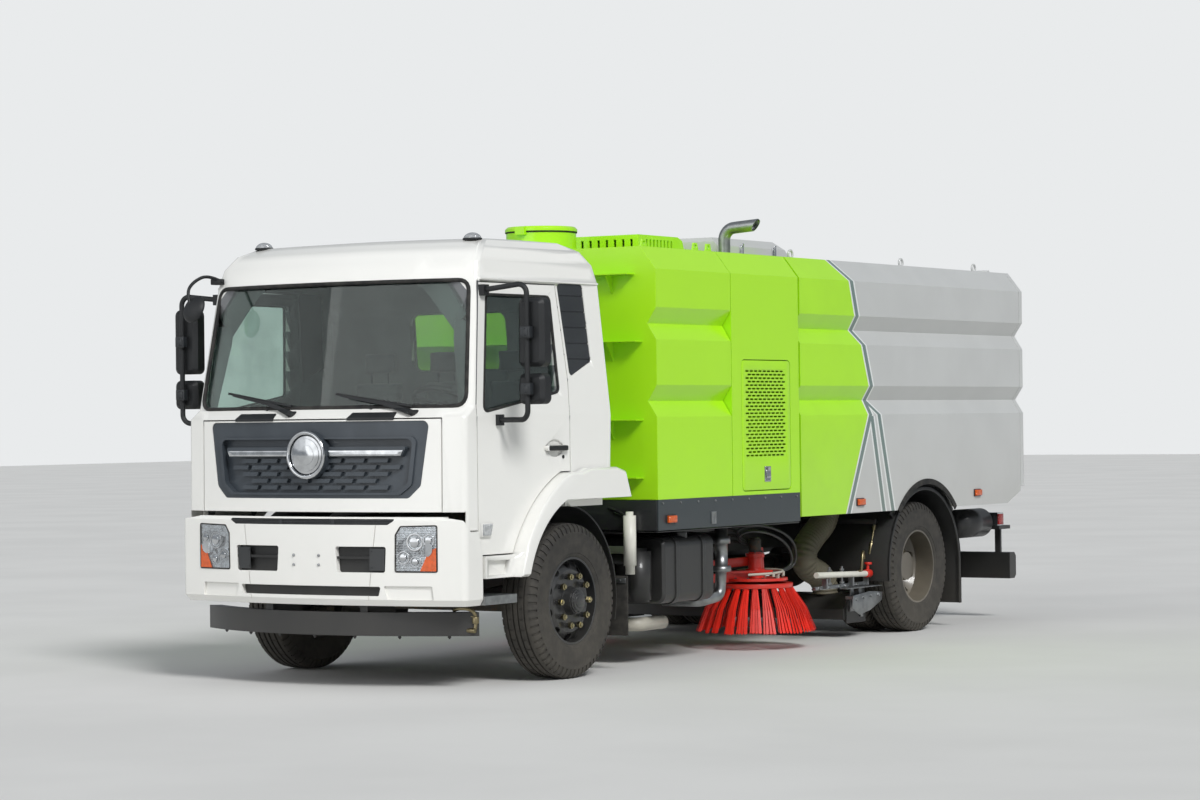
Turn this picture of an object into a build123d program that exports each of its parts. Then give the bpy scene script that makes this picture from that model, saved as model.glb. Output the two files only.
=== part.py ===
from build123d import *
from functools import cache
import math

# Street sweeper truck. X to the vehicle's left, -Y to its front, Z up from the ground.
# All sizes in millimetres. The origin is on the ground at the middle of the whole vehicle.

# Whole vehicle
BODY_HALF = 1250.0
WHEELBASE = 5000.0
FRONT_AXLE_Y = -2755.0
REAR_AXLE_Y = FRONT_AXLE_Y + WHEELBASE
SIDES = (("left", 1), ("right", -1))

# Wheels and tyres
TYRE_RADIUS = 510.0
TYRE_WIDTH = 275.0
BEAD_RADIUS = 287.0
RIM_WALL = 14.0
TRACK_HALF_FRONT = 1040.0
TWIN_SPACING = 305.0
STUD_CIRCLE = 167.0
STUD_COUNT = 10
HAND_HOLES = 10
HAND_HOLE_CIRCLE = 238.0
HAND_HOLE = (24.0, 62.0)
SPINDLE_RADIUS = 42.0
RUNNING_GAP = 0.05

# Steering
KINGPIN_X = 870.0
KINGPIN_RADIUS = 22.0
KNUCKLE_LUG = 40.0
BOSS_RADIUS = 48.0
BOSS_HALF_HEIGHT = 75.0
BOSS_GAP = 6.0

# Frame
RAIL_OUTER = 430.0
RAIL_BOTTOM = 690.0
RAIL_TOP = 930.0
RAIL_FLANGE = 75.0
RAIL_WALL = 10.0
RAIL_FRONT = -3700.0
RAIL_REAR = 3660.0
CROSS_MEMBER = 90.0

# Cab
CAB_WALL = 55.0
CAB_FLOOR = 1170.0
CAB_FLOOR_WALL = 45.0
CAB_SKIRT = 850.0
CAB_SWEEP = 150.0
CAB_CORNER = 45.0
SEAM = 8.0
ARCH_FRONT = 620.0
FLARE_IN = 1105.0
FLARE_OUT = 1240.0
DOOR_FRONT = -3775.0
DOOR_REAR = -2755.0
DOOR_TOP = 2575.0
PILLAR_RAKE = 120.0
GLASS_WALL = 6.0

# Sweeping body
ROOF = 2874.0
CHAMFER_FOOT = 2716.0
ROOF_HALF = 1127.0
GROOVE_DEPTH = 70.0
PANEL_BOTTOM = 1145.0
TANK_FRONT = -1820.0
TANK_REAR = -812.0
BAY_REAR = 172.0
HOPPER_FRONT = 197.0
HOPPER_REAR = 4034.0
HOPPER_BOTTOM = 966.0
HOPPER_WALL = 50.0
HOPPER_TANK_FLOOR = 1240.0
TROUGH_HALF = 560.0
TAIL_DOOR_WALL = 58.0
TAIL_DOOR_BOTTOM = 1100.0
ARCH_REAR = 690.0
BODY_SEAM = 8.0
SKIRT_BOTTOM = 935.0
SKIRT_WALL = 30.0

# Groove table: top edge, valley, bottom edge
GROOVES = ((2454.0, 2347.0, 2235.0), (1925.0, 1818.0, 1708.0))

# Tipping gear
TIP_PIVOT_Y = 3640.0
TIP_PIVOT_Z = 880.0
TIP_PIN_RADIUS = 25.0
TIP_LUG_GAP = 8.0
TIP_LUG_WALL = 30.0
RAM_PIN_RADIUS = 20.0
RAM_X = 290.0
RAM_BASE = (1850.0, 760.0)
RAM_EYE = (3050.0, 900.0)
RAM_RADIUS = 45.0
RAM_ROD_RADIUS = 25.0

# Side brushes
BRUSH_X = 860.0
BRUSH_Y = 180.0
BRUSH_DISC_RADIUS = 278.0
BRUSH_DISC_Z = 445.0
BRUSH_TIP_Z = 120.0
BRUSH_TIP_RADIUS = 405.0
TUFTS = 24
ARM_PIVOT = (560.0, -330.0)
ARM_Z = 520.0
ARM_DEPTH = 66.0
ARM_WIDTH = 56.0
BRUSH_POST_TOP = 705.0

# Suction nozzle
NOZZLE_FRONT = 1290.0
NOZZLE_REAR = 1640.0
NOZZLE_HALF = 1000.0
NOZZLE_BOTTOM = 140.0
NOZZLE_TOP = 330.0
NOZZLE_PIVOT_Y = 1130.0
NOZZLE_PIVOT_Z = 560.0
HOSE_RADIUS = 105.0
HOSE_X = 760.0
HOSE_BEND = 160.0
PIVOT_PIN_RADIUS = 20.0


def block(low, high, mode=Mode.ADD):
    """A box between two opposite corners, in the part that is being built."""
    centre = tuple((a + b) / 2 for a, b in zip(low, high))
    with Locations(centre):
        Box(*[b - a for a, b in zip(low, high)], mode=mode)


def span(side, inner, outer):
    """The x values of a piece on one side of the vehicle, lowest first."""
    return sorted((side * inner, side * outer))


def side_block(side, low, high, mode=Mode.ADD):
    """A box on one side of the vehicle, its first size counted outwards."""
    x0, x1 = span(side, low[0], high[0])
    block((x0, *low[1:]), (x1, *high[1:]), mode=mode)


def rod(start, end, radius, mode=Mode.ADD):
    """A round bar from one point to another."""
    along = Vector(*end) - Vector(*start)
    with BuildSketch(Plane(origin=start, z_dir=along)) as section:
        Circle(radius)
    extrude(section.sketch, amount=along.length, mode=mode)


def cross(y):
    """The plane across the vehicle at y, seen from the front."""
    return Plane.XZ.offset(-y)


def prism_across(points, y0, y1, corner=0.0):
    """An outline of (x, z) points drawn across the vehicle, as a solid from y0 to y1."""
    with BuildSketch(cross(y0)) as section:
        with BuildLine():
            Polyline(*points, close=True)
        make_face()
        if corner:
            fillet(section.vertices(), corner)
    return extrude(section.sketch, amount=-(y1 - y0), mode=Mode.PRIVATE)


def prism_side(points, x0, x1, corner=0.0):
    """An outline of (y, z) points drawn on the side, as a solid from x0 to x1."""
    with BuildSketch(Plane.YZ.offset(x0)) as section:
        with BuildLine():
            Polyline(*points, close=True)
        make_face()
        if corner:
            fillet(section.vertices(), corner)
    return extrude(section.sketch, amount=x1 - x0, mode=Mode.PRIVATE)


def spun(profile, centre, side=1):
    """A profile of (x, radius) points turned about the axle line through centre."""
    with BuildSketch(Plane.XZ) as section:
        with BuildLine():
            Polyline(*[(side * x, r) for x, r in profile], close=True)
        make_face()
    ring = revolve(section.sketch, axis=Axis.X, mode=Mode.PRIVATE)
    return ring.moved(Location(centre))


def bevelled(form, edges, size):
    """A copy of a form with some of its edges cut at 45 degrees."""
    return form.chamfer(size, None, list(edges))


def finish(name, part):
    """Label a piece and write it."""
    part.label = name
    export_step(part, f"parts/{name}.step")


# Body profile, shared by the water tank, the hopper and its tail door
def body_outline(bottom, grooved=True, inset=0.0):
    """Points of the faceted cross-section, with its side grooves."""
    half = BODY_HALF - inset
    side = [(half, bottom)]
    if grooved:
        for top, valley, foot in reversed(GROOVES):
            side += [(half, foot), (half - GROOVE_DEPTH, valley), (half, top)]
    side += [(half, CHAMFER_FOOT), (ROOF_HALF - inset, ROOF - inset)]
    return side + [(-x, z) for x, z in reversed(side)]


# Cab sections: height, front centre, half width at front, half width at rear, rear
CAB_SECTIONS = (
    (CAB_SKIRT, -4060.0, 1115.0, 1160.0, -2300.0),
    (1724.0, -4052.0, 1115.0, 1160.0, -2270.0),
    (1785.0, -3961.0, 1112.0, 1157.0, -2274.0),
    (2600.0, -3820.0, 1055.0, 1115.0, -2350.0),
    (2720.0, -3780.0, 1035.0, 1097.0, -2390.0),
    (2810.0, -3690.0, 995.0, 1057.0, -2480.0),
    (2865.0, -3550.0, 920.0, 975.0, -2620.0),
    (2885.0, -3300.0, 760.0, 800.0, -2850.0),
)


def cab_section(height, front, half_front, half_rear, rear):
    """One level section of the cab, bowed at the front and rounded at its front corners."""
    with BuildSketch(Plane.XY.offset(height)) as section:
        with BuildLine():
            corner = front + CAB_SWEEP
            ThreePointArc((-half_front, corner), (0, front), (half_front, corner))
            Polyline((half_front, corner), (half_rear, rear), (-half_rear, rear), (-half_front, corner))
        make_face()
        fillet(section.vertices().sort_by(Axis.Y)[:2], CAB_CORNER)
    return section.sketch


@cache
def cab_form(inset=0.0, bottom=CAB_SKIRT):
    """The cab's outer form, or its inside when inset by a wall."""
    rows = []
    for index, (height, front, half_front, half_rear, rear) in enumerate(CAB_SECTIONS):
        level = bottom if index == 0 else height
        if height > DOOR_TOP:
            level = height - inset
        rows.append(cab_section(level, front + inset, half_front - inset, half_rear - inset, rear - inset))
    return loft(rows, ruled=True, mode=Mode.PRIVATE)


CAB_OUTER = cab_form()
CAB_UNDER = cab_form(CAB_WALL)
FLOOR_UNDERSIDE = CAB_FLOOR - CAB_FLOOR_WALL


@cache
def cab_band(outer, inner):
    """A layer of the cab's wall between two depths, from the skirt to the roof."""
    shell = cab_form(outer) if outer else CAB_OUTER
    return shell - cab_form(inner)


def arch_tool(radius, x0, x1, axle_y):
    """A cylinder along the axle, to cut an arch."""
    with BuildSketch(Plane.YZ.offset(x0)) as section:
        with Locations((axle_y, TYRE_RADIUS)):
            Circle(radius)
    return extrude(section.sketch, amount=x1 - x0, mode=Mode.PRIVATE)


# Front arch: the white flare's inner and outer arcs (start, middle, end) and its rear end
FLARE_INNER = ((-3375.0, 700.0), (-3190.0, 1010.0), (-2930.0, 1177.0))
FLARE_OUTER = ((-3460.0, 700.0), (-3240.0, 1090.0), (-2860.0, 1352.0))
FLARE_REAR = ((-2128.0, 1177.0), (-2198.0, 1352.0), (-2310.0, 1379.0), (-2640.0, 1379.0), (-2730.0, 1352.0))
FLARE_CHAMFER = 16.0


def flare(x0, x1):
    """The band over the front wheel."""
    with BuildSketch(Plane.YZ.offset(x0)) as section:
        with BuildLine():
            ThreePointArc(*FLARE_INNER)
            Polyline(FLARE_INNER[-1], *FLARE_REAR, FLARE_OUTER[-1])
            ThreePointArc(*FLARE_OUTER)
            Line(FLARE_OUTER[0], FLARE_INNER[0])
        make_face()
    return extrude(section.sketch, amount=x1 - x0, mode=Mode.PRIVATE)


def arch_cut(arc, x0, x1, grow=0.0):
    """Everything under an arc of the front arch, back past the cab's rear."""
    with BuildSketch(Plane.YZ.offset(x0)) as section:
        with BuildLine():
            ThreePointArc(*arc)
            Polyline(arc[-1], (-2000.0, arc[-1][1]), (-2000.0, arc[0][1]), arc[0])
        make_face()
        if grow:
            offset(amount=grow, kind=Kind.INTERSECTION)
    return extrude(section.sketch, amount=x1 - x0, mode=Mode.PRIVATE)


# Door outline on the side: heel, front, raked pillar, slanted rear edge, skirt
DOOR_HEEL_TOP = 1000.0
DOOR_HEEL_IN = 30.0
DOOR_BELT_FRONT = 1800.0
DOOR_BELT_REAR = 1960.0
DOOR_REAR_LEAN = 85.0


def door_outline(grow=0.0):
    front = DOOR_FRONT - grow
    return [
        (front + DOOR_HEEL_IN, CAB_SKIRT - grow),
        (front, DOOR_HEEL_TOP),
        (front, DOOR_BELT_FRONT),
        (front + PILLAR_RAKE, DOOR_TOP + grow),
        (DOOR_REAR - DOOR_REAR_LEAN + grow, DOOR_TOP + grow),
        (DOOR_REAR + grow, DOOR_BELT_REAR),
        (DOOR_REAR + grow, CAB_SKIRT - grow),
    ]


DOOR_WINDOW = [(-3705.0, 1750.0), (-3590.0, 2500.0), (-2905.0, 2500.0), (-2860.0, 1880.0)]
QUARTER = [(-2815.0, 2590.0), (-2525.0, 2590.0), (-2470.0, 2080.0), (-2725.0, 1975.0)]
QUARTER_LINES = 5
SCREEN = [(-1066.0, 1790.0), (-1004.0, 2592.0), (1004.0, 2592.0), (1066.0, 1790.0)]
SCREEN_CORNER = 80.0
REAR_WINDOW = [(-400.0, 2040.0), (-400.0, 2440.0), (400.0, 2440.0), (400.0, 2040.0)]
REAR_WINDOW_Y = (-2450.0, -2150.0)
FLAP_HALF = 955.0
FLAP_BOTTOM = 1125.0
FLAP_TOP = 1712.0
FRONT_FAR = -4300.0
FRONT_NEAR = -3700.0
SIDE_FAR = 1400.0
FIREWALL_Y = -3800.0
FIREWALL = 30.0
DRIP_RAIL = (2592.0, 2604.0)
DRIP_RAIL_OUT = 8.0
DRIP_RAIL_BAND = (4000.0, 1300.0)
DRIP_RAIL_Y = -3000.0
SILL_OUT = 1050.0


def across(points, corner=0.0):
    """An outline drawn across the vehicle, carried through the cab's front."""
    return prism_across(points, FRONT_FAR, FRONT_NEAR, corner)


def mirrored(points):
    return [(-x, z) for x, z in points]


# Step panel below the door, and the notch of the bumper's rear corner under the cab's corner
STEP_PANEL = [(-3747.0, 700.0), (-3747.0, 842.0), (-3385.0, 842.0), (-3385.0, 700.0)]
STEP_WELL = [(-3715.0, 720.0), (-3715.0, 812.0), (-3475.0, 812.0), (-3505.0, 720.0)]
STEP_WELL_DEPTH = 30.0
NOTCH_TOP = 1000.0
NOTCH_FRONT = -3893.0
NOTCH_SLOPE = 75.0

# Cab shell: skin with openings for doors, screen, flap, quarter panels and the wheel arches
with BuildPart() as cab_shell:
    add(CAB_OUTER)
    rail_band = Box(*DRIP_RAIL_BAND, DRIP_RAIL[1] - DRIP_RAIL[0], mode=Mode.PRIVATE)
    add(cab_form(-DRIP_RAIL_OUT) & rail_band.moved(Location((0, DRIP_RAIL_Y, sum(DRIP_RAIL) / 2))))
    add(cab_form(CAB_WALL, CAB_FLOOR), mode=Mode.SUBTRACT)
    block((-FLARE_IN, -5000, CAB_SKIRT - 10), (FLARE_IN, -2000, FLOOR_UNDERSIDE), mode=Mode.SUBTRACT)
    below = [(-5000, 700), (-5000, FLOOR_UNDERSIDE), (NOTCH_FRONT - NOTCH_SLOPE, FLOOR_UNDERSIDE),
             (NOTCH_FRONT, NOTCH_TOP + SEAM), (-3600, NOTCH_TOP + SEAM), (-3600, 700)]
    add(prism_side(below, -1300, 1300), mode=Mode.SUBTRACT)
    add(across(SCREEN, SCREEN_CORNER), mode=Mode.SUBTRACT)
    add(prism_across(REAR_WINDOW, *REAR_WINDOW_Y, SCREEN_CORNER), mode=Mode.SUBTRACT)
    flap_hole = [(-FLAP_HALF - SEAM, FLAP_BOTTOM - 100), (-FLAP_HALF - SEAM, FLAP_TOP + SEAM),
                 (FLAP_HALF + SEAM, FLAP_TOP + SEAM), (FLAP_HALF + SEAM, FLAP_BOTTOM - 100)]
    add(prism_across(flap_hole, FRONT_FAR, FIREWALL_Y - 1), mode=Mode.SUBTRACT)
    block((-1050, FIREWALL_Y, CAB_FLOOR - 1), (1050, FIREWALL_Y + FIREWALL, 1760))
    for _, side in SIDES:
        x0, x1 = span(side, 900, SIDE_FAR)
        add(prism_side(door_outline(SEAM), x0, x1), mode=Mode.SUBTRACT)
        add(prism_side(QUARTER, x0, x1, 30), mode=Mode.SUBTRACT)
    block((-SILL_OUT, DOOR_FRONT - SEAM - 1, FLOOR_UNDERSIDE), (SILL_OUT, DOOR_REAR + SEAM + 1, CAB_FLOOR))
    for _, side in SIDES:
        add(arch_tool(ARCH_FRONT, *span(side, 600, SIDE_FAR), FRONT_AXLE_Y), mode=Mode.SUBTRACT)
        add(arch_cut(FLARE_INNER, *span(side, FLARE_IN - 5, SIDE_FAR)), mode=Mode.SUBTRACT)
        band = flare(*span(side, FLARE_IN, FLARE_OUT))
        rim = band.faces().sort_by(Axis.X)[-1 if side > 0 else 0].edges()
        inner_end = Vector(side * FLARE_OUT, *FLARE_INNER[-1])
        outside = [e for e in rim if min((Vector(v) - inner_end).length for v in e.vertices()) > 1]
        add(bevelled(band, outside, FLARE_CHAMFER))
        panel = prism_side(STEP_PANEL, *span(side, FLARE_IN - 20, FLARE_IN + 45))
        well = prism_side(STEP_WELL, *span(side, FLARE_IN + 45 - STEP_WELL_DEPTH, FLARE_IN + 46))
        add(panel - well)
finish("cab_shell", cab_shell.part)

# Doors, cut from the same wall, with a handle in its dish and a side lamp, and their glass
HANDLE_Y = -2925.0
HANDLE_Z = 1513.0
HANDLE_HALF = 125.0
HANDLE_OUT = 30.0
DISH_DEPTH = 14.0
SIDE_LAMP = [(-3765.0, 965.0), (-3765.0, 1052.0), (-3640.0, 1052.0), (-3665.0, 965.0)]
SIDE_LAMP_OUT = 16.0
for name, side in SIDES:
    x0, x1 = span(side, 900, SIDE_FAR)
    with BuildPart() as door:
        add(CAB_OUTER - CAB_UNDER)
        add(prism_side(door_outline(), x0, x1), mode=Mode.INTERSECT)
        add(arch_cut(FLARE_OUTER, x0, x1, SEAM), mode=Mode.SUBTRACT)
        add(prism_side(DOOR_WINDOW, x0, x1, 40), mode=Mode.SUBTRACT)
        skin = CAB_OUTER - cab_form(DISH_DEPTH)
        with BuildSketch(Plane.YZ.offset(x0)) as dish:
            with Locations((HANDLE_Y, HANDLE_Z)):
                Ellipse(HANDLE_HALF - 30, 58)
        add(skin & extrude(dish.sketch, amount=x1 - x0, mode=Mode.PRIVATE), mode=Mode.SUBTRACT)
        with BuildSketch(Plane.YZ.offset(x0)) as grip:
            with Locations((HANDLE_Y, HANDLE_Z)):
                SlotOverall(2 * HANDLE_HALF, 34)
        add((cab_form(-HANDLE_OUT) - cab_form(-HANDLE_OUT / 3)) & extrude(
            grip.sketch, amount=x1 - x0, mode=Mode.PRIVATE))
        for end in (-1, 1):
            y = HANDLE_Y + end * (HANDLE_HALF - 22)
            side_block(side, (1120, y - 12, HANDLE_Z - 13), (1150, y + 12, HANDLE_Z + 13))
        add((cab_form(-SIDE_LAMP_OUT) - cab_form(10)) & prism_side(SIDE_LAMP, x0, x1))
    finish(f"door_{name}", door.part)
    with BuildPart() as door_glass:
        add(cab_band(CAB_WALL / 2, CAB_WALL / 2 + GLASS_WALL))
        add(prism_side(DOOR_WINDOW, x0, x1, 40), mode=Mode.INTERSECT)
    finish(f"door_glass_{name}", door_glass.part)

# Windscreen and rear window
with BuildPart() as windscreen:
    add(cab_band(CAB_WALL / 4, CAB_WALL / 4 + GLASS_WALL))
    panes = across(SCREEN, SCREEN_CORNER) + prism_across(REAR_WINDOW, *REAR_WINDOW_Y, SCREEN_CORNER)
    add(panes, mode=Mode.INTERSECT)
finish("windscreen", windscreen.part)

# Dark panels behind the doors, with lines pressed across them
with BuildPart() as quarter_panels:
    add(cab_band(6, CAB_WALL - 5))
    both = prism_side(QUARTER, 900, SIDE_FAR, 30) + prism_side(QUARTER, -SIDE_FAR, -900, 30)
    add(both, mode=Mode.INTERSECT)
    line_layer = cab_band(0, 12)
    for index in range(QUARTER_LINES):
        z = 2090 + index * 104
        line = prism_side([(-2900, z), (-2900, z + 9), (-2400, z + 9), (-2400, z)], -SIDE_FAR, SIDE_FAR)
        add(line_layer & line, mode=Mode.SUBTRACT)
finish("quarter_panels", quarter_panels.part)

# Front flap with the grille panel let into it
GRILLE_SIDE = [(735.0, 1212.0), (818.0, 1290.0), (878.0, 1702.0)]
GRILLE = mirrored(GRILLE_SIDE) + GRILLE_SIDE[::-1]
MESH_SIDE = [(655.0, 1248.0), (735.0, 1310.0), (770.0, 1590.0)]
MESH = mirrored(MESH_SIDE) + MESH_SIDE[::-1]
MESH_MIDDLE_Z = 1400.0
LIP_WIDTH = 14.0
MESH_LIP = [(x * 1.035, z + (LIP_WIDTH if z > MESH_MIDDLE_Z else -LIP_WIDTH)) for x, z in MESH]
MESH_DEPTH = 32.0
BAR = [(-690.0, 1478.0), (-725.0, 1540.0), (725.0, 1540.0), (690.0, 1478.0)]
LOUVRE_ROWS = ((1268.0, 3), (1311.0, 3), (1354.0, 4), (1397.0, 4), (1440.0, 4))
LOUVRE_PITCH = 172.0
LOUVRE_LENGTH = 150.0
LOUVRE_HEIGHT = 26.0
BADGE_Z = 1490.0
BADGE_RADIUS = 155.0
with BuildPart() as front_flap:
    add(CAB_OUTER - CAB_UNDER)
    flap_edge = [(-FLAP_HALF, FLAP_BOTTOM), (-FLAP_HALF, FLAP_TOP), (FLAP_HALF, FLAP_TOP),
                 (FLAP_HALF, FLAP_BOTTOM)]
    add(across(flap_edge), mode=Mode.INTERSECT)
    add(across(GRILLE, 40), mode=Mode.SUBTRACT)
finish("front_flap", front_flap.part)
with BuildPart() as grille:
    add(cab_band(5, CAB_WALL) & across(GRILLE, 40))
    add((cab_form(-8) - cab_form(20)) & (across(MESH_LIP, 44) - across(MESH, 40)))
    add(cab_band(0, MESH_DEPTH) & across(MESH, 40), mode=Mode.SUBTRACT)
    louvre_layer = cab_band(8, CAB_WALL - 10)
    for row, (z, count) in enumerate(LOUVRE_ROWS):
        shift = LOUVRE_PITCH / 2 if row % 2 else 0
        for index in range(-count, count + 1):
            x = index * LOUVRE_PITCH + shift
            if abs(x) + LOUVRE_LENGTH / 2 > 640 + (z - 1268) * 0.45:
                continue
            blade = [(x - LOUVRE_LENGTH / 2, z), (x - LOUVRE_LENGTH / 2 + 12, z + LOUVRE_HEIGHT),
                     (x + LOUVRE_LENGTH / 2, z + LOUVRE_HEIGHT), (x + LOUVRE_LENGTH / 2 - 12, z)]
            add(louvre_layer & across(blade))
    add((cab_form(-6) - cab_form(CAB_WALL - 10)) & across(BAR, 12))
    rod((0, -4082, BADGE_Z), (0, -4010, BADGE_Z), BADGE_RADIUS)
    rod((0, -4090, BADGE_Z), (0, -4070, BADGE_Z), BADGE_RADIUS - 22, mode=Mode.SUBTRACT)
    rod((0, -4080, BADGE_Z), (0, -4060, BADGE_Z), BADGE_RADIUS - 34)
finish("grille", grille.part)

# Bumper, lamps and the dark pieces in its openings
BUMPER_BOTTOM = 534.0
BUMPER_TOP = 1095.0
BUMPER_FRONT = -4098.0
BUMPER_HALF = 1140.0
BUMPER_WALL = 60.0
BUMPER_REAR = -3765.0
BUMPER_BEVEL = 22.0
LAMP = [(663.0, 750.0), (668.0, 985.0), (702.0, 1037.0), (953.0, 1044.0), (953.0, 750.0)]
LAMP_BOWL_Z = 895.0
LAMP_BOWLS = ((745.0, 72.0), (878.0, 62.0))
BUMPER_OPENING = [(240.0, 745.0), (228.0, 908.0), (600.0, 908.0), (592.0, 745.0)]
OPENING_SHELF = 830.0
LOWER_SLOT = [(-545.0, 596.0), (-560.0, 656.0), (560.0, 656.0), (545.0, 596.0)]
FOG_PANEL = [(610.0, 574.0), (580.0, 660.0), (915.0, 660.0), (925.0, 574.0)]
SHELF_THICK = 16.0
STRIP = [(-612.0, 1046.0), (-677.0, 1083.0), (677.0, 1083.0), (612.0, 1046.0)]
SEAM_TOP_X = 530.0
SEAM_BOTTOM_X = 462.0
SEAM_WIDTH = 6.0
PLATE_BOLT_X = 100.0
PLATE_BOLT_Z = 60.0
PLATE_CENTRE_Z = 820.0
PLATE_BOLT_RADIUS = 4.0
REAR_LAMP = ((820.0, 3790.0, 775.0), (1120.0, 3900.0, 882.0))


def bumper_level(inset, height):
    """One level section of the bumper, bowed at the front and rounded at its corners."""
    half = BUMPER_HALF - inset
    front = BUMPER_FRONT + inset
    with BuildSketch(Plane.XY.offset(height)) as section:
        with BuildLine():
            ThreePointArc((-half, front + CAB_SWEEP), (0, front), (half, front + CAB_SWEEP))
            Polyline((half, front + CAB_SWEEP), (half, BUMPER_REAR), (-half, BUMPER_REAR),
                     (-half, front + CAB_SWEEP))
        make_face()
        fillet(section.vertices().sort_by(Axis.Y)[:2], CAB_CORNER)
    return section.sketch


def bumper_form(inset):
    """The bumper's outer form with its bevelled top and bottom, or a form inside it."""
    rows = [bumper_level(inset + BUMPER_BEVEL, BUMPER_BOTTOM), bumper_level(inset, BUMPER_BOTTOM + 40),
            bumper_level(inset, BUMPER_TOP - BUMPER_BEVEL), bumper_level(inset + BUMPER_BEVEL, BUMPER_TOP)]
    return loft(rows, ruled=True, mode=Mode.PRIVATE)


def bumper_layer(outer, inner):
    """A layer of the bumper's bowed wall between two depths."""
    height = BUMPER_TOP - BUMPER_BOTTOM
    core = extrude(bumper_level(inner, BUMPER_BOTTOM - 1), amount=height + 2, mode=Mode.PRIVATE)
    return bumper_form(outer) - core


def both_sides(outline, corner=0.0):
    """An outline carried through the front on the left and on the right."""
    return across(outline, corner) + across(mirrored(outline), corner)


with BuildPart() as bumper:
    add(bumper_layer(0, BUMPER_WALL))
    add(both_sides(LAMP, 18), mode=Mode.SUBTRACT)
    add(both_sides(BUMPER_OPENING, 15), mode=Mode.SUBTRACT)
    add(across(LOWER_SLOT, 12), mode=Mode.SUBTRACT)
    add(across(STRIP, 8), mode=Mode.SUBTRACT)
    groove_layer = bumper_layer(-1, SEAM_WIDTH)
    seam_line = [(SEAM_BOTTOM_X, BUMPER_BOTTOM - 1), (SEAM_TOP_X, BUMPER_TOP + 1),
                 (SEAM_TOP_X + SEAM_WIDTH, BUMPER_TOP + 1), (SEAM_BOTTOM_X + SEAM_WIDTH, BUMPER_BOTTOM - 1)]
    add(groove_layer & both_sides(seam_line), mode=Mode.SUBTRACT)
    add(bumper_layer(-1, 14) & both_sides(FOG_PANEL, 10), mode=Mode.SUBTRACT)
    notch = [(NOTCH_FRONT - NOTCH_SLOPE, BUMPER_TOP + 1), (NOTCH_FRONT, NOTCH_TOP), (-3808, NOTCH_TOP),
             (BUMPER_REAR + 1, 842), (BUMPER_REAR + 60, BUMPER_TOP + 1)]
    for _, side in SIDES:
        add(prism_side(notch, *span(side, 985, SIDE_FAR)), mode=Mode.SUBTRACT)
    for x in (-PLATE_BOLT_X, PLATE_BOLT_X):
        for z in (PLATE_CENTRE_Z - PLATE_BOLT_Z / 2, PLATE_CENTRE_Z + PLATE_BOLT_Z / 2):
            rod((x, FRONT_FAR, z), (x, -3950, z), PLATE_BOLT_RADIUS, mode=Mode.SUBTRACT)
finish("bumper", bumper.part)
with BuildPart() as lamps:
    add(bumper_layer(4, BUMPER_WALL) & both_sides(LAMP, 18))
    for side in (-1, 1):
        for x, radius in LAMP_BOWLS:
            spot = side * x
            rod((spot, FRONT_FAR, LAMP_BOWL_Z), (spot, -3985, LAMP_BOWL_Z), radius, mode=Mode.SUBTRACT)
            rod((spot, -4012, LAMP_BOWL_Z), (spot, -3975, LAMP_BOWL_Z), radius - 14)
        side_block(side, REAR_LAMP[0], REAR_LAMP[1])
        low, high = REAR_LAMP
        groove = ((low[0] + 100, high[1] - 8, low[2] - 1), (low[0] + 106, high[1] + 1, high[2] + 1))
        side_block(side, *groove, mode=Mode.SUBTRACT)
finish("lamps", lamps.part)
with BuildPart() as bumper_inserts:
    back_wall = bumper_layer(34, BUMPER_WALL)
    add(back_wall & across(LOWER_SLOT, 12))
    for side in (-1, 1):
        add(back_wall & across([(side * x, z) for x, z in BUMPER_OPENING], 15))
        shelf_top = OPENING_SHELF + SHELF_THICK
        shelf = [(234, OPENING_SHELF), (233, shelf_top), (597, shelf_top), (596, OPENING_SHELF)]
        add(bumper_layer(8, BUMPER_WALL - 10) & across([(side * x, z) for x, z in shelf]))
    add(bumper_layer(8, BUMPER_WALL) & across(STRIP, 8))
finish("bumper_inserts", bumper_inserts.part)

# Black front bar under the bumper, bent back at its ends and carried from the frame
BAR_HALF = 1090.0
SPRAY_BAR = (340.0, 490.0)
with BuildPart() as spray_bar:
    with BuildSketch(Plane.XY.offset(SPRAY_BAR[0])) as bar_plan:
        with BuildLine():
            ThreePointArc((-BAR_HALF, -3740), (0, -4060), (BAR_HALF, -3740))
            Line((BAR_HALF, -3740), (BAR_HALF - 60, -3690))
            ThreePointArc((BAR_HALF - 60, -3690), (0, -3990), (-BAR_HALF + 60, -3690))
            Line((-BAR_HALF + 60, -3690), (-BAR_HALF, -3740))
        make_face()
    extrude(amount=SPRAY_BAR[1] - SPRAY_BAR[0])
    for x in (-380.0, 380.0):
        block((x - 30, -4000, 400), (x + 30, -3700, RAIL_BOTTOM))
        block((x - 30, -3740, 600), (x + 30, RAIL_FRONT, RAIL_TOP))
finish("spray_bar", spray_bar.part)

# Lower steps: a ribbed tread plate on two hanger rods, from an arm on the frame
TREAD = (-3763.0, -3400.0)
TREAD_Z = (535.0, 590.0)
TREAD_OUT = 1150.0
TREAD_IN = 880.0
TREAD_GROOVES = 4
with BuildPart() as cab_steps:
    for _, side in SIDES:
        side_block(side, (TREAD_IN, TREAD[0], TREAD_Z[0]), (TREAD_OUT, TREAD[1], TREAD_Z[1]))
        for index in range(TREAD_GROOVES):
            x = TREAD_IN + 50 + index * 58
            side_block(side, (x, TREAD[0] + 25, TREAD_Z[1] - 8), (x + 30, TREAD[1] - 25, TREAD_Z[1] + 1),
                       mode=Mode.SUBTRACT)
        for y in (-3700.0, -3461.0):
            rod((side * 1060, y, TREAD_Z[1] - 5), (side * 1060, y, 740), 14)
            rod((side * 915, y, TREAD_Z[1] - 5), (side * 915, y, 740), 14)
        side_block(side, (RAIL_OUTER, -3720, 725), (1078, -3440, 765))
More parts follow.
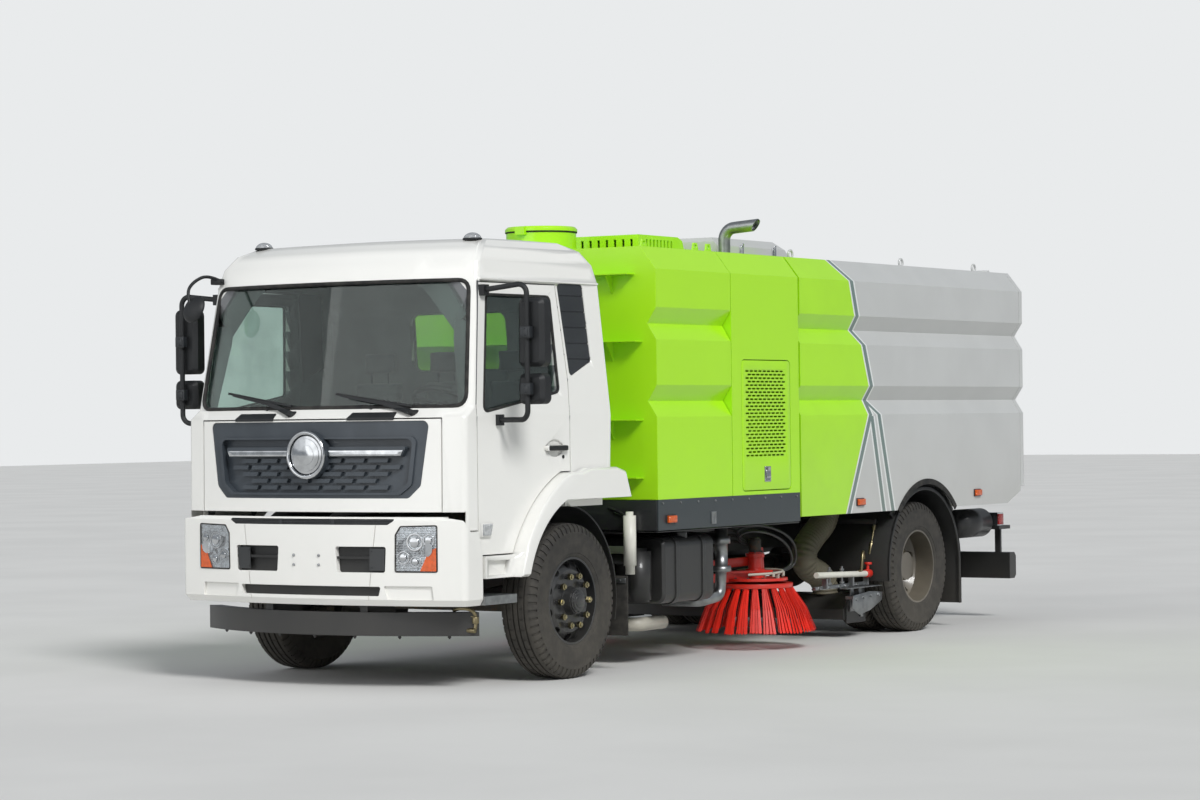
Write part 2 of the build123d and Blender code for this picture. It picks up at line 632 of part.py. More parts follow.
finish("cab_steps", cab_steps.part)

# Inner mudguards over the front wheels
GUARD_WALL = 12.0
GUARD_PARTS = ((-3400.0, 700.0), (-2100.0, 350.0))
with BuildPart() as front_mudguards:
    for _, side in SIDES:
        low, high = sorted((side * 620, side * 1100))
        ring = arch_tool(ARCH_FRONT + GUARD_WALL, low, high, FRONT_AXLE_Y)
        ring = ring - arch_tool(ARCH_FRONT, low, high, FRONT_AXLE_Y)
        for end, bottom in GUARD_PARTS:
            part = [(end, bottom), (end, FLOOR_UNDERSIDE), (FRONT_AXLE_Y, FLOOR_UNDERSIDE),
                    (FRONT_AXLE_Y, bottom)]
            add(ring & prism_side(part, low, high))
finish("front_mudguards", front_mudguards.part)

# Wipers: pivot, elbow and tip as (x, z), each lifted off the cab's front by the gap
WIPERS = (
    ((-165.0, 1752.0), (-400.0, 1822.0), (-735.0, 1882.0)),
    ((755.0, 1752.0), (525.0, 1812.0), (205.0, 1866.0)),
)
WIPER_GAP = 14.0
WIPER_PIVOT_Y = -4006.0
WIPER_PIVOT_OUT = 44.0
WIPER_PIVOT_RADIUS = 19.0


def wiper_bar(start, end, width, outer, inner):
    """A bar that follows the cab's front between two (x, z) points."""
    along = Vector(end[0] - start[0], end[1] - start[1])
    off = Vector(-along.Y, along.X).normalized() * (width / 2)
    outline = [(start[0] + off.X, start[1] + off.Y), (end[0] + off.X, end[1] + off.Y),
               (end[0] - off.X, end[1] - off.Y), (start[0] - off.X, start[1] - off.Y)]
    return (cab_form(-outer) - cab_form(-inner)) & across(outline)


with BuildPart() as wipers:
    for pivot, elbow, tip in WIPERS:
        add(wiper_bar(pivot, elbow, 26, 34, WIPER_GAP))
        add(wiper_bar((elbow[0] + 20, elbow[1] - 6), tip, 16, 30, WIPER_GAP))
        blade_end = (elbow[0] + 190, elbow[1] - 16)
        add(wiper_bar(blade_end, (tip[0] - 60, tip[1] + 12), 14, WIPER_GAP + 3, 2))
        root = WIPER_PIVOT_Y + CAB_SWEEP * (pivot[0] / CAB_SECTIONS[1][2]) ** 2
        rod((pivot[0], root + 60, pivot[1]), (pivot[0], root - WIPER_PIVOT_OUT, pivot[1]), WIPER_PIVOT_RADIUS)
    add(CAB_OUTER, mode=Mode.SUBTRACT)
finish("wipers", wipers.part)

# Cab interior: dashboard and seats
with BuildPart() as cab_interior:
    dash = [(-3768, CAB_FLOOR), (-3768, 1700), (-3560, 1690), (-3450, 1600), (-3500, 1350),
            (-3600, CAB_FLOOR)]
    add(prism_side(dash, -1000, 1000))
    for x, half in ((560.0, 240.0), (0.0, 200.0), (-560.0, 240.0)):
        seat = [(-3130, CAB_FLOOR), (-3130, 1530), (-2700, 1500), (-2610, 1980), (-2610, 2180),
                (-2510, 2180), (-2480, 1450), (-2530, CAB_FLOOR)]
        add(prism_side(seat, x - half, x + half))
finish("cab_interior", cab_interior.part)

# Steering wheel on a raked column
COLUMN_X = 560.0
WHEEL_CENTRE = (COLUMN_X, -3330.0, 1790.0)
WHEEL_TILT = 35.0
tilt = math.radians(WHEEL_TILT)
wheel_plane = Plane(origin=WHEEL_CENTRE, z_dir=(0, math.sin(tilt), math.cos(tilt)))
with BuildPart() as steering_wheel:
    with BuildSketch(wheel_plane.offset(-12)):
        Circle(225)
        Circle(200, mode=Mode.SUBTRACT)
        Circle(60)
        with PolarLocations(0, 3):
            with Locations((130, 0)):
                Rectangle(160, 30)
    extrude(amount=24)
    rod(WHEEL_CENTRE, wheel_plane.from_local_coords((0, 0, -110)), 25)
finish("steering_wheel", steering_wheel.part)

# Mirrors on the doors: a tube from bracket to bracket, with two rounded heads clamped behind it
MIRROR_TUBE = 17.0
MIRROR_X = 1400.0
MIRROR_Y = -3625.0
MIRROR_HEADS = ((2033.0, 2468.0), (1797.0, 1991.0))
HEAD_X = (1305.0, 1500.0)
HEAD_Y = (-3600.0, -3505.0)
for name, side in SIDES:
    with BuildPart() as mirrors:
        with BuildLine() as tube_line:
            FilletPolyline((side * 1050, -3632, 2523), (side * MIRROR_X, MIRROR_Y, 2560),
                           (side * MIRROR_X, MIRROR_Y, 1700), (side * 1128, -3550, 1700), radius=60)
        start = tube_line.wires()[0] @ 0
        heading = tube_line.wires()[0] % 0
        with BuildSketch(Plane(origin=start, z_dir=heading)):
            Circle(MIRROR_TUBE)
        sweep(path=tube_line.wires()[0])
        side_block(side, (1040, -3662, 2490), (1100, -3602, 2560))
        side_block(side, (1105, -3580, 1665), (1150, -3520, 1735))
        for low_z, high_z in MIRROR_HEADS:
            x0, x1 = span(side, *HEAD_X)
            with BuildSketch(cross(HEAD_Y[0])) as head:
                with Locations(((x0 + x1) / 2, (low_z + high_z) / 2)):
                    RectangleRounded(HEAD_X[1] - HEAD_X[0], high_z - low_z, 42)
            shell = extrude(head.sketch, amount=-(HEAD_Y[1] - HEAD_Y[0]), mode=Mode.PRIVATE)
            add(bevelled(shell, shell.faces().sort_by(Axis.Y)[0].edges(), 26))
            middle = (low_z + high_z) / 2
            side_block(side, (MIRROR_X - 32, MIRROR_Y - 24, middle - 40),
                       (MIRROR_X + 32, HEAD_Y[0] + 1, middle + 40))
        add(CAB_OUTER, mode=Mode.SUBTRACT)
    finish(f"mirrors_{name}", mirrors.part)

# Frame: two channel rails, cross members and the pins for the tipping hopper
with BuildPart() as chassis_frame:
    for _, side in SIDES:
        outline = [(side * RAIL_OUTER, RAIL_BOTTOM), (side * RAIL_OUTER, RAIL_TOP),
                   (side * (RAIL_OUTER - RAIL_FLANGE), RAIL_TOP),
                   (side * (RAIL_OUTER - RAIL_FLANGE), RAIL_TOP - RAIL_WALL),
                   (side * (RAIL_OUTER - RAIL_WALL), RAIL_TOP - RAIL_WALL),
                   (side * (RAIL_OUTER - RAIL_WALL), RAIL_BOTTOM + RAIL_WALL),
                   (side * (RAIL_OUTER - RAIL_FLANGE), RAIL_BOTTOM + RAIL_WALL),
                   (side * (RAIL_OUTER - RAIL_FLANGE), RAIL_BOTTOM)]
        add(prism_across(outline, RAIL_FRONT, RAIL_REAR))
        rod((side * (RAIL_OUTER - RAIL_WALL), TIP_PIVOT_Y, TIP_PIVOT_Z),
            (side * (RAIL_OUTER + TIP_LUG_GAP + TIP_LUG_WALL + 10), TIP_PIVOT_Y, TIP_PIVOT_Z), TIP_PIN_RADIUS)
        low, high = sorted((side * RAIL_OUTER, side * (ARM_PIVOT[0] + 50)))
        block((low, ARM_PIVOT[1] - 40, ARM_Z + 87), (high, ARM_PIVOT[1] + 40, RAIL_BOTTOM + 60))
        pin = (side * ARM_PIVOT[0], ARM_PIVOT[1])
        rod((*pin, ARM_Z - 85), (*pin, ARM_Z + 90), PIVOT_PIN_RADIUS)
        low, high = sorted((side * 350, side * 370))
        block((low, NOZZLE_PIVOT_Y - 30, NOZZLE_PIVOT_Z - 35), (high, NOZZLE_PIVOT_Y + 30, RAIL_BOTTOM + 1))
        rod((side * 255, NOZZLE_PIVOT_Y, NOZZLE_PIVOT_Z), (side * 360, NOZZLE_PIVOT_Y, NOZZLE_PIVOT_Z), 15)
    web = RAIL_OUTER - RAIL_WALL
    for y in (-3600.0, -1500.0, -400.0, 900.0, 3300.0):
        block((-web, y, RAIL_BOTTOM + 60), (web, y + CROSS_MEMBER, RAIL_TOP - 60))
    rod((-web, *RAM_BASE), (web, *RAM_BASE), RAM_PIN_RADIUS)
finish("chassis_frame", chassis_frame.part)

# Front axle beam with kingpin bosses
with BuildPart() as front_axle:
    beam = [(-850, 470), (-640, 430), (640, 430), (850, 470),
            (850, 555), (640, 515), (-640, 515), (-850, 555)]
    add(prism_across(beam, FRONT_AXLE_Y - 45, FRONT_AXLE_Y + 45))
    for _, side in SIDES:
        rod((side * KINGPIN_X, FRONT_AXLE_Y, TYRE_RADIUS - BOSS_HALF_HEIGHT),
            (side * KINGPIN_X, FRONT_AXLE_Y, TYRE_RADIUS + BOSS_HALF_HEIGHT), BOSS_RADIUS)
        rod((side * KINGPIN_X, FRONT_AXLE_Y, 400), (side * KINGPIN_X, FRONT_AXLE_Y, 620),
            KINGPIN_RADIUS + RUNNING_GAP, mode=Mode.SUBTRACT)
finish("front_axle", front_axle.part)

# Steering knuckles: fork, kingpin and stub axle
for name, side in SIDES:
    with BuildPart() as knuckle:
        inner = BOSS_HALF_HEIGHT + BOSS_GAP
        low, high = sorted((side * (KINGPIN_X - 40), side * (KINGPIN_X + 95)))
        for z0, z1 in ((TYRE_RADIUS + inner, TYRE_RADIUS + inner + KNUCKLE_LUG),
                       (TYRE_RADIUS - inner - KNUCKLE_LUG, TYRE_RADIUS - inner)):
            block((low, FRONT_AXLE_Y - 40, z0), (high, FRONT_AXLE_Y + 40, z1))
        low, high = sorted((side * (KINGPIN_X + BOSS_RADIUS + 12), side * (KINGPIN_X + 95)))
        block((low, FRONT_AXLE_Y - 50, TYRE_RADIUS - inner - KNUCKLE_LUG),
              (high, FRONT_AXLE_Y + 50, TYRE_RADIUS + inner + KNUCKLE_LUG))
        rod((side * KINGPIN_X, FRONT_AXLE_Y, TYRE_RADIUS - inner - 20),
            (side * KINGPIN_X, FRONT_AXLE_Y, TYRE_RADIUS + inner + 20), KINGPIN_RADIUS)
        rod((side * (KINGPIN_X + 90), FRONT_AXLE_Y, TYRE_RADIUS),
            (side * (TRACK_HALF_FRONT + 60), FRONT_AXLE_Y, TYRE_RADIUS), SPINDLE_RADIUS)
    finish(f"knuckle_{name}", knuckle.part)

# Tyre profile: distance from the tyre's middle plane, radius
half_tyre = TYRE_WIDTH / 2
tyre_half_section = [
    (half_tyre - 42, TYRE_RADIUS), (half_tyre - 22, TYRE_RADIUS - 14), (half_tyre - 6, 460), (half_tyre, 400),
    (half_tyre - 8, BEAD_RADIUS + 22), (half_tyre - 22, BEAD_RADIUS),
]
TYRE_PROFILE = mirrored(tyre_half_section[::-1]) + tyre_half_section
RIM_HALF = half_tyre - 22
# Wheel profiles: distance outwards from the rim's middle plane, radius
bore = SPINDLE_RADIUS + RUNNING_GAP
RIM_INNER = BEAD_RADIUS - RIM_WALL
FRONT_WHEEL = [
    (-RIM_HALF, RIM_INNER), (-RIM_HALF, BEAD_RADIUS), (RIM_HALF, BEAD_RADIUS), (RIM_HALF, RIM_INNER),
    (45, RIM_INNER), (95, 205), (95, 95), (150, 85), (150, 0), (70, 0), (70, bore), (-40, bore),
    (-40, 210), (25, 210), (25, 225), (30, RIM_INNER),
]
REAR_WHEEL = [
    (-RIM_HALF, RIM_INNER), (-RIM_HALF, BEAD_RADIUS), (RIM_HALF, BEAD_RADIUS), (RIM_HALF, RIM_INNER),
    (-40, RIM_INNER), (-118, 215), (-118, 120), (20, 110), (20, 0), (-30, 0), (-30, bore), (-160, bore),
    (-160, 210), (-132, 210), (-55, RIM_INNER),
]
for name, side in SIDES:
    for axle, axle_y in (("front", FRONT_AXLE_Y), ("rear", REAR_AXLE_Y)):
        plane_x = TRACK_HALF_FRONT
        centre = (side * plane_x, axle_y, TYRE_RADIUS)
        with BuildPart() as tyre:
            add(spun(TYRE_PROFILE, centre, side))
            if axle == "rear":
                add(spun(TYRE_PROFILE, (side * (plane_x - TWIN_SPACING), axle_y, TYRE_RADIUS), side))
        finish(f"tyre_{axle}_{name}", tyre.part)
        with BuildPart() as wheel:
            if axle == "front":
                add(spun(FRONT_WHEEL, centre, side))
                disc_x = 60
            else:
                add(spun(REAR_WHEEL, centre, side))
                inner_rim = [(-RIM_HALF - TWIN_SPACING, RIM_INNER), (-RIM_HALF - TWIN_SPACING, BEAD_RADIUS),
                             (RIM_HALF - TWIN_SPACING, BEAD_RADIUS), (RIM_HALF - TWIN_SPACING, RIM_INNER),
                             (-215, RIM_INNER), (-160, 215), (-160, 190), (-175, 190), (-235, RIM_INNER)]
                add(spun(inner_rim, centre, side))
                disc_x = -80
            with BuildSketch(Plane(origin=(side * (plane_x + disc_x - 60), axle_y, TYRE_RADIUS),
                                   x_dir=(0, 1, 0), z_dir=(side, 0, 0))) as hand_holes:
                with PolarLocations(HAND_HOLE_CIRCLE, HAND_HOLES, start_angle=180 / HAND_HOLES):
                    SlotOverall(HAND_HOLE[1], HAND_HOLE[0] * 2, rotation=90)
            extrude(hand_holes.sketch, amount=120, mode=Mode.SUBTRACT)
            face = 95 if axle == "front" else -118
            for index in range(STUD_COUNT):
                angle = 2 * math.pi * index / STUD_COUNT
                y = axle_y + STUD_CIRCLE * math.cos(angle)
                z = TYRE_RADIUS + STUD_CIRCLE * math.sin(angle)
                with BuildSketch(Plane(origin=(side * (plane_x + face), y, z), z_dir=(side, 0, 0))) as nut:
                    RegularPolygon(17, 6)
                extrude(nut.sketch, amount=34)
        finish(f"wheel_{axle}_{name}", wheel.part)

# Rear axle housing with its differential and spindles
with BuildPart() as rear_axle:
    spindle_end = TRACK_HALF_FRONT - 35
    rod((-640, REAR_AXLE_Y, TYRE_RADIUS), (640, REAR_AXLE_Y, TYRE_RADIUS), 75)
    rod((-spindle_end, REAR_AXLE_Y, TYRE_RADIUS), (spindle_end, REAR_AXLE_Y, TYRE_RADIUS), SPINDLE_RADIUS)
    with Locations((0, REAR_AXLE_Y, TYRE_RADIUS)):
        Sphere(185)
    rod((0, REAR_AXLE_Y - 150, TYRE_RADIUS), (0, REAR_AXLE_Y - 320, TYRE_RADIUS + 20), 80)
finish("rear_axle", rear_axle.part)

# Leaf springs: axle, half length, middle height, eye height, thickness
SPRINGS = ((FRONT_AXLE_Y, 740.0, 515.0, 640.0, 48.0), (REAR_AXLE_Y, 760.0, 585.0, 640.0, 50.0))
SPRING_X = 390.0
SPRING_WIDTH = 38.0
with BuildPart() as leaf_springs:
    for _, side in SIDES:
        low, high = sorted((side * (SPRING_X - SPRING_WIDTH), side * (SPRING_X + SPRING_WIDTH)))
        for axle_y, half, middle, eye, thick in SPRINGS:
            with BuildSketch(Plane.YZ.offset(low)) as leaf:
                with BuildLine():
                    ThreePointArc((axle_y - half, eye), (axle_y, middle), (axle_y + half, eye))
                    Line((axle_y + half, eye), (axle_y + half, eye + 20))
                    ThreePointArc((axle_y + half, eye + 20), (axle_y, middle + thick),
                                  (axle_y - half, eye + 20))
                    Line((axle_y - half, eye + 20), (axle_y - half, eye))
                make_face()
            extrude(leaf.sketch, amount=high - low)
            for end in (-1, 1):
                y = axle_y + end * (half - 25)
                block((low, y - 25, eye), (high, y + 25, RAIL_BOTTOM))
finish("leaf_springs", leaf_springs.part)

# Engine, gearbox and propeller shaft as plain masses
with BuildPart() as drive_line:
    block((-260, -3500, 640), (260, -2560, 1080))
    block((-200, -2561, 620), (200, -1860, 900))
    rod((0, -1880, 680), (0, REAR_AXLE_Y - 330, TYRE_RADIUS + 22), 50)
finish("drive_line", drive_line.part)

# Tanks beside the frame: the big one with two straps and a cap
TANK_OUT = 1150.0
TANK_CENTRE = (845.0, 652.0)
TANK_SIZE = (610.0, 462.0)
TANK_CORNER = 70.0
TANK_Y = (-1590.0, -905.0)
STRAPS = (-1440.0, -1080.0)
STRAP_WIDTH = 42.0
with BuildPart() as fuel_tank:
    with BuildSketch(cross(TANK_Y[0])) as tank_end:
        with Locations(TANK_CENTRE):
            RectangleRounded(*TANK_SIZE, TANK_CORNER)
    body = extrude(tank_end.sketch, amount=-(TANK_Y[1] - TANK_Y[0]), mode=Mode.PRIVATE)
    ends = body.faces().sort_by(Axis.Y)
    add(bevelled(body, [*ends[0].edges(), *ends[-1].edges()], 18))
    for y in STRAPS:
        with BuildSketch(cross(y)) as strap:
            with Locations(TANK_CENTRE):
                RectangleRounded(TANK_SIZE[0] + 16, TANK_SIZE[1] + 16, TANK_CORNER + 8)
                RectangleRounded(TANK_SIZE[0] - 8, TANK_SIZE[1] - 8, TANK_CORNER - 4, mode=Mode.SUBTRACT)
        extrude(strap.sketch, amount=-STRAP_WIDTH)
        block((RAIL_OUTER, y - 15, 700), (560, y + 55, 800))
    rod((1070, -1250, 850), (1070, -1250, 905), 55)
finish("fuel_tank", fuel_tank.part)

# Canisters ahead of the tank, the valve pipe behind it, the drain pipe below and the rear tank
with BuildPart() as air_tanks:
    rod((1010, -1695, 455), (1010, -1695, 790), 88)
    rod((1010, -1695, 789), (1010, -1695, 812), 60)
    rod((1010, -1695, 440), (1010, -1695, 456), 72)
    block((RAIL_OUTER, -1725, 700), (1010, -1665, 760))
    rod((1060, -1885, 700), (1060, -1885, 1040), 66)
    rod((1060, -1885, 1039), (1060, -1885, 1066), 40)
    rod((1060, -1885, 640), (1060, -1885, 701), 50)
    block((RAIL_OUTER, -1912, 780), (1040, -1858, 830))
    rod((1045, -630, 640), (1045, -630, 925), 46)
    rod((1045, -630, 600), (1045, -630, 641), 70)
    rod((1045, -630, 800), (1045, -630, 850), 66)
    block((RAIL_OUTER, -660, 830), (1045, -600, 880))
    with BuildLine() as valve_line:
        FilletPolyline((1045, -630, 610), (1045, -660, 430), (1000, -860, 400), (700, -860, 400), radius=60)
    with BuildSketch(Plane(origin=valve_line.wires()[0] @ 0, z_dir=valve_line.wires()[0] % 0)):
        Circle(40)
    sweep(path=valve_line.wires()[0])
    block((660, -880, 380), (720, -840, 780))
    block((RAIL_OUTER, -880, 730), (720, -840, 780))
    with BuildLine() as drain_line:
        FilletPolyline((950, -1290, 280), (950, -1620, 280), (700, -1620, 280), (700, -1620, 412), radius=60)
    with BuildSketch(Plane(origin=drain_line.wires()[0] @ 0, z_dir=drain_line.wires()[0] % 0)):
        Circle(48)
    sweep(path=drain_line.wires()[0])
    block((640, -1640, 400), (760, -1605, 720))
    block((RAIL_OUTER, -1640, 690), (700, -1605, 740))
    rod((-880, -1900, 620), (-880, -1320, 620), 130)
    block((-780, -1640, 690), (-RAIL_OUTER, -1580, 750))
    for _, side in SIDES:
        rod((side * 1000, 3250, 805), (side * 1000, 3700, 805), 118)
        rod((side * 1000, 3225, 805), (side * 1000, 3251, 805), 84)
        rod((side * 1000, 3699, 805), (side * 1000, 3725, 805), 84)
        for y in (3330, 3600):
            side_block(side, (RAIL_OUTER, y - 20, 765), (1000, y + 20, 820))
finish("air_tanks", air_tanks.part)
with BuildPart() as battery_box:
    block((-1150, -1240, 430), (-560, -560, 860))
    lid = Box(604, 694, 40, mode=Mode.PRIVATE).moved(Location((-855, -900, 880)))
    add(bevelled(lid, lid.faces().sort_by(Axis.Z)[-1].edges(), 14))
    for y in (-1130, -690):
        block((-1156, y, 700), (-1140, y + 40, 905))
    block((-561, -1000, 700), (-RAIL_OUTER, -900, 800))
finish("battery_box", battery_box.part)

# Water tank with the ribs and gussets of its front wall
TANK_RIBS = (1290.0, 1684.0, 2220.0, 2680.0)
with BuildPart() as water_tank:
    add(prism_across(body_outline(PANEL_BOTTOM), TANK_FRONT, TANK_REAR))
    for z in TANK_RIBS:
        half = 1080.0 if z > CHAMFER_FOOT - 100 else 1140.0
        block((-half, TANK_FRONT - 95, z), (half, TANK_FRONT, z + 8))
        for x in (-900, -300, 300, 900):
            gusset = [(TANK_FRONT, z), (TANK_FRONT - 90, z), (TANK_FRONT, z - 130)]
            add(prism_side(gusset, x - 4, x + 4))
    for x in (-350, 350):
        block((x - 60, TANK_FRONT + 100, RAIL_TOP), (x + 60, TANK_REAR - 100, PANEL_BOTTOM))
finish("water_tank", water_tank.part)

# Engine bay: hollow shell with side door holes
BAY_WALL = 40.0
BAY_DOOR = (-665.0, 37.0, 1177.0, 2104.0)
BAY_FRONT = TANK_REAR + BODY_SEAM
door_y0, door_y1, door_z0, door_z1 = BAY_DOOR
BAY_GAP = 6.0
with BuildPart() as engine_bay:
    add(prism_across(body_outline(PANEL_BOTTOM, grooved=False), BAY_FRONT, BAY_REAR))
    hollow = [(-BODY_HALF + BAY_WALL, PANEL_BOTTOM - 1), (-BODY_HALF + BAY_WALL, CHAMFER_FOOT - 20),
              (-ROOF_HALF + BAY_WALL, ROOF - BAY_WALL), (ROOF_HALF - BAY_WALL, ROOF - BAY_WALL),
              (BODY_HALF - BAY_WALL, CHAMFER_FOOT - 20), (BODY_HALF - BAY_WALL, PANEL_BOTTOM - 1)]
    add(prism_across(hollow, BAY_FRONT + BAY_WALL, BAY_REAR - BAY_WALL), mode=Mode.SUBTRACT)
    hole = [(door_y0 - BAY_GAP, door_z0 - BAY_GAP), (door_y0 - BAY_GAP, door_z1 + BAY_GAP),
            (door_y1 + BAY_GAP, door_z1 + BAY_GAP), (door_y1 + BAY_GAP, door_z0 - BAY_GAP)]
    add(prism_side(hole, -1300, 1300, 40), mode=Mode.SUBTRACT)
    for x in (-395, 395):
        block((x - 35, BAY_FRONT, RAIL_TOP), (x + 35, BAY_REAR, PANEL_BOTTOM))
        for y in (BAY_FRONT, BAY_REAR - BAY_WALL):
            block((x - 35, y, PANEL_BOTTOM - 1), (x + 35, y + BAY_WALL, PANEL_BOTTOM + 60))
finish("engine_bay", engine_bay.part)
with BuildPart() as sweep_engine:
    block((-400, -660, 1180), (400, 20, 1900))
    for x in (-300, 300):
        block((x - 50, -600, RAIL_TOP), (x + 50, -40, 1180))
finish("sweep_engine", sweep_engine.part)

# Engine bay doors with a field of slots. Columns, rows, pitch along, pitch up, slot
VENT_COLUMNS = 8
VENT_ROWS = 12
VENT_PITCH_Y = 72.0
VENT_PITCH_Z = 52.0
VENT_SLOT = (46.0, 22.0)
for name, side in SIDES:
    edge = [(door_y0, door_z0), (door_y0, door_z1), (door_y1, door_z1), (door_y1, door_z0)]
    x0, x1 = sorted((side * (BODY_HALF - 25), side * BODY_HALF))
    with BuildPart() as engine_door:
        add(prism_side(edge, x0, x1, 34))
        with BuildSketch(Plane.YZ.offset(x0)) as slots:
            with Locations(((door_y0 + door_y1) / 2, 1720)):
                with GridLocations(VENT_PITCH_Y, VENT_PITCH_Z, VENT_COLUMNS, VENT_ROWS):
                    Rectangle(*VENT_SLOT)
        extrude(slots.sketch, amount=x1 - x0, mode=Mode.SUBTRACT)
    finish(f"engine_door_{name}", engine_door.part)

# Dark skirts under the tank and the engine bay
with BuildPart() as side_skirts:
    for _, side in SIDES:
        low, high = sorted((side * (BODY_HALF - SKIRT_WALL), side * BODY_HALF))
        block((low, TANK_FRONT, SKIRT_BOTTOM), (high, BAY_REAR, PANEL_BOTTOM))
finish("side_skirts", side_skirts.part)

# Roof pieces: filler drum with its lid, slotted fan housing, lifting eyes
DRUM_Y = -1330.0
DRUM_RADIUS = 250.0
DRUM_TOP = ROOF + 150.0
FAN_HALF = 480.0
FAN_Y = (-790.0, -150.0)
FAN_HEIGHT = 150.0
FAN_SLOTS = 9
EYES = ((1010.0, -1585.0), (1010.0, -710.0), (1010.0, -890.0))
with BuildPart() as roof_housings:
    rod((0, DRUM_Y, ROOF), (0, DRUM_Y, DRUM_TOP), DRUM_RADIUS)
    rod((0, DRUM_Y, DRUM_TOP - 1), (0, DRUM_Y, DRUM_TOP + 10), DRUM_RADIUS - 14)
    lid = Cylinder(DRUM_RADIUS + 8, 34, mode=Mode.PRIVATE).moved(Location((0, DRUM_Y, DRUM_TOP + 26)))
    add(bevelled(lid, lid.edges().sort_by(Axis.Z)[-1:], 16))
    block((-40, DRUM_Y - DRUM_RADIUS - 30, DRUM_TOP - 20), (40, DRUM_Y - DRUM_RADIUS + 20, DRUM_TOP + 40))
    crown = ROOF + FAN_HEIGHT
    housing_side = [(FAN_Y[0], ROOF), (FAN_Y[0], crown), (FAN_Y[1] - 90, crown),
                    (FAN_Y[1] - 26, crown - 26), (FAN_Y[1], crown - 90), (FAN_Y[1], ROOF)]
    add(prism_side(housing_side, -FAN_HALF, FAN_HALF))
    room = [(FAN_Y[0] + 12, ROOF + 20), (FAN_Y[0] + 12, crown - 12),
            (FAN_Y[1] - 110, crown - 12), (FAN_Y[1] - 110, ROOF + 20)]
    add(prism_side(room, -FAN_HALF + 12, FAN_HALF - 12), mode=Mode.SUBTRACT)
    slot_pitch = (FAN_Y[1] - FAN_Y[0] - 200) / FAN_SLOTS
    for index in range(FAN_SLOTS):
        y = FAN_Y[0] + 60 + index * slot_pitch
        block((-FAN_HALF - 5, y, ROOF + 32), (FAN_HALF + 5, y + 20, crown - 32), mode=Mode.SUBTRACT)
    for index in range(-6, 7):
        x = index * 70
        block((x - 11, FAN_Y[0] - 5, ROOF + 32), (x + 11, FAN_Y[0] + 30, crown - 32), mode=Mode.SUBTRACT)
    for x, y in EYES:
        for _, side in SIDES:
            eye = [(y - 42, ROOF), (y - 24, ROOF + 62), (y + 24, ROOF + 62), (y + 42, ROOF)]
            plate = prism_side(eye, side * x - 7, side * x + 7)
            hole = [(y - 14, ROOF + 22), (y - 14, ROOF + 50), (y + 14, ROOF + 50), (y + 14, ROOF + 22)]
            add(plate - prism_side(hole, side * x - 8, side * x + 8, 12))
finish("roof_housings", roof_housings.part)

# Exhaust: an upright pipe that bends outwards, with a slanted mouth
EXHAUST_X = 700.0
EXHAUST_Y = 60.0
EXHAUST_TOP = ROOF + 215.0
EXHAUST_RADIUS = 44.0
with BuildPart() as exhaust:
    with BuildLine() as exhaust_line:
        FilletPolyline((EXHAUST_X, EXHAUST_Y, ROOF), (EXHAUST_X, EXHAUST_Y, EXHAUST_TOP),
                       (EXHAUST_X + 290, EXHAUST_Y, EXHAUST_TOP + 20), radius=90)
    with BuildSketch(Plane(origin=(EXHAUST_X, EXHAUST_Y, ROOF), z_dir=(0, 0, 1))):
        Circle(EXHAUST_RADIUS)
    sweep(path=exhaust_line.wires()[0])
    mouth_x = EXHAUST_X + 290
    rod((mouth_x - 60, EXHAUST_Y, EXHAUST_TOP + 16), (mouth_x + 5, EXHAUST_Y, EXHAUST_TOP + 20),
        EXHAUST_RADIUS - 6, mode=Mode.SUBTRACT)
    slant = [(mouth_x - 70, EXHAUST_TOP - 60), (mouth_x + 30, EXHAUST_TOP + 100),
             (mouth_x + 60, EXHAUST_TOP - 60)]
    add(prism_across(slant, EXHAUST_Y - 80, EXHAUST_Y + 80), mode=Mode.SUBTRACT)
    rod((EXHAUST_X, EXHAUST_Y, ROOF), (EXHAUST_X, EXHAUST_Y, ROOF + 14), EXHAUST_RADIUS + 36)
finish("exhaust", exhaust.part)

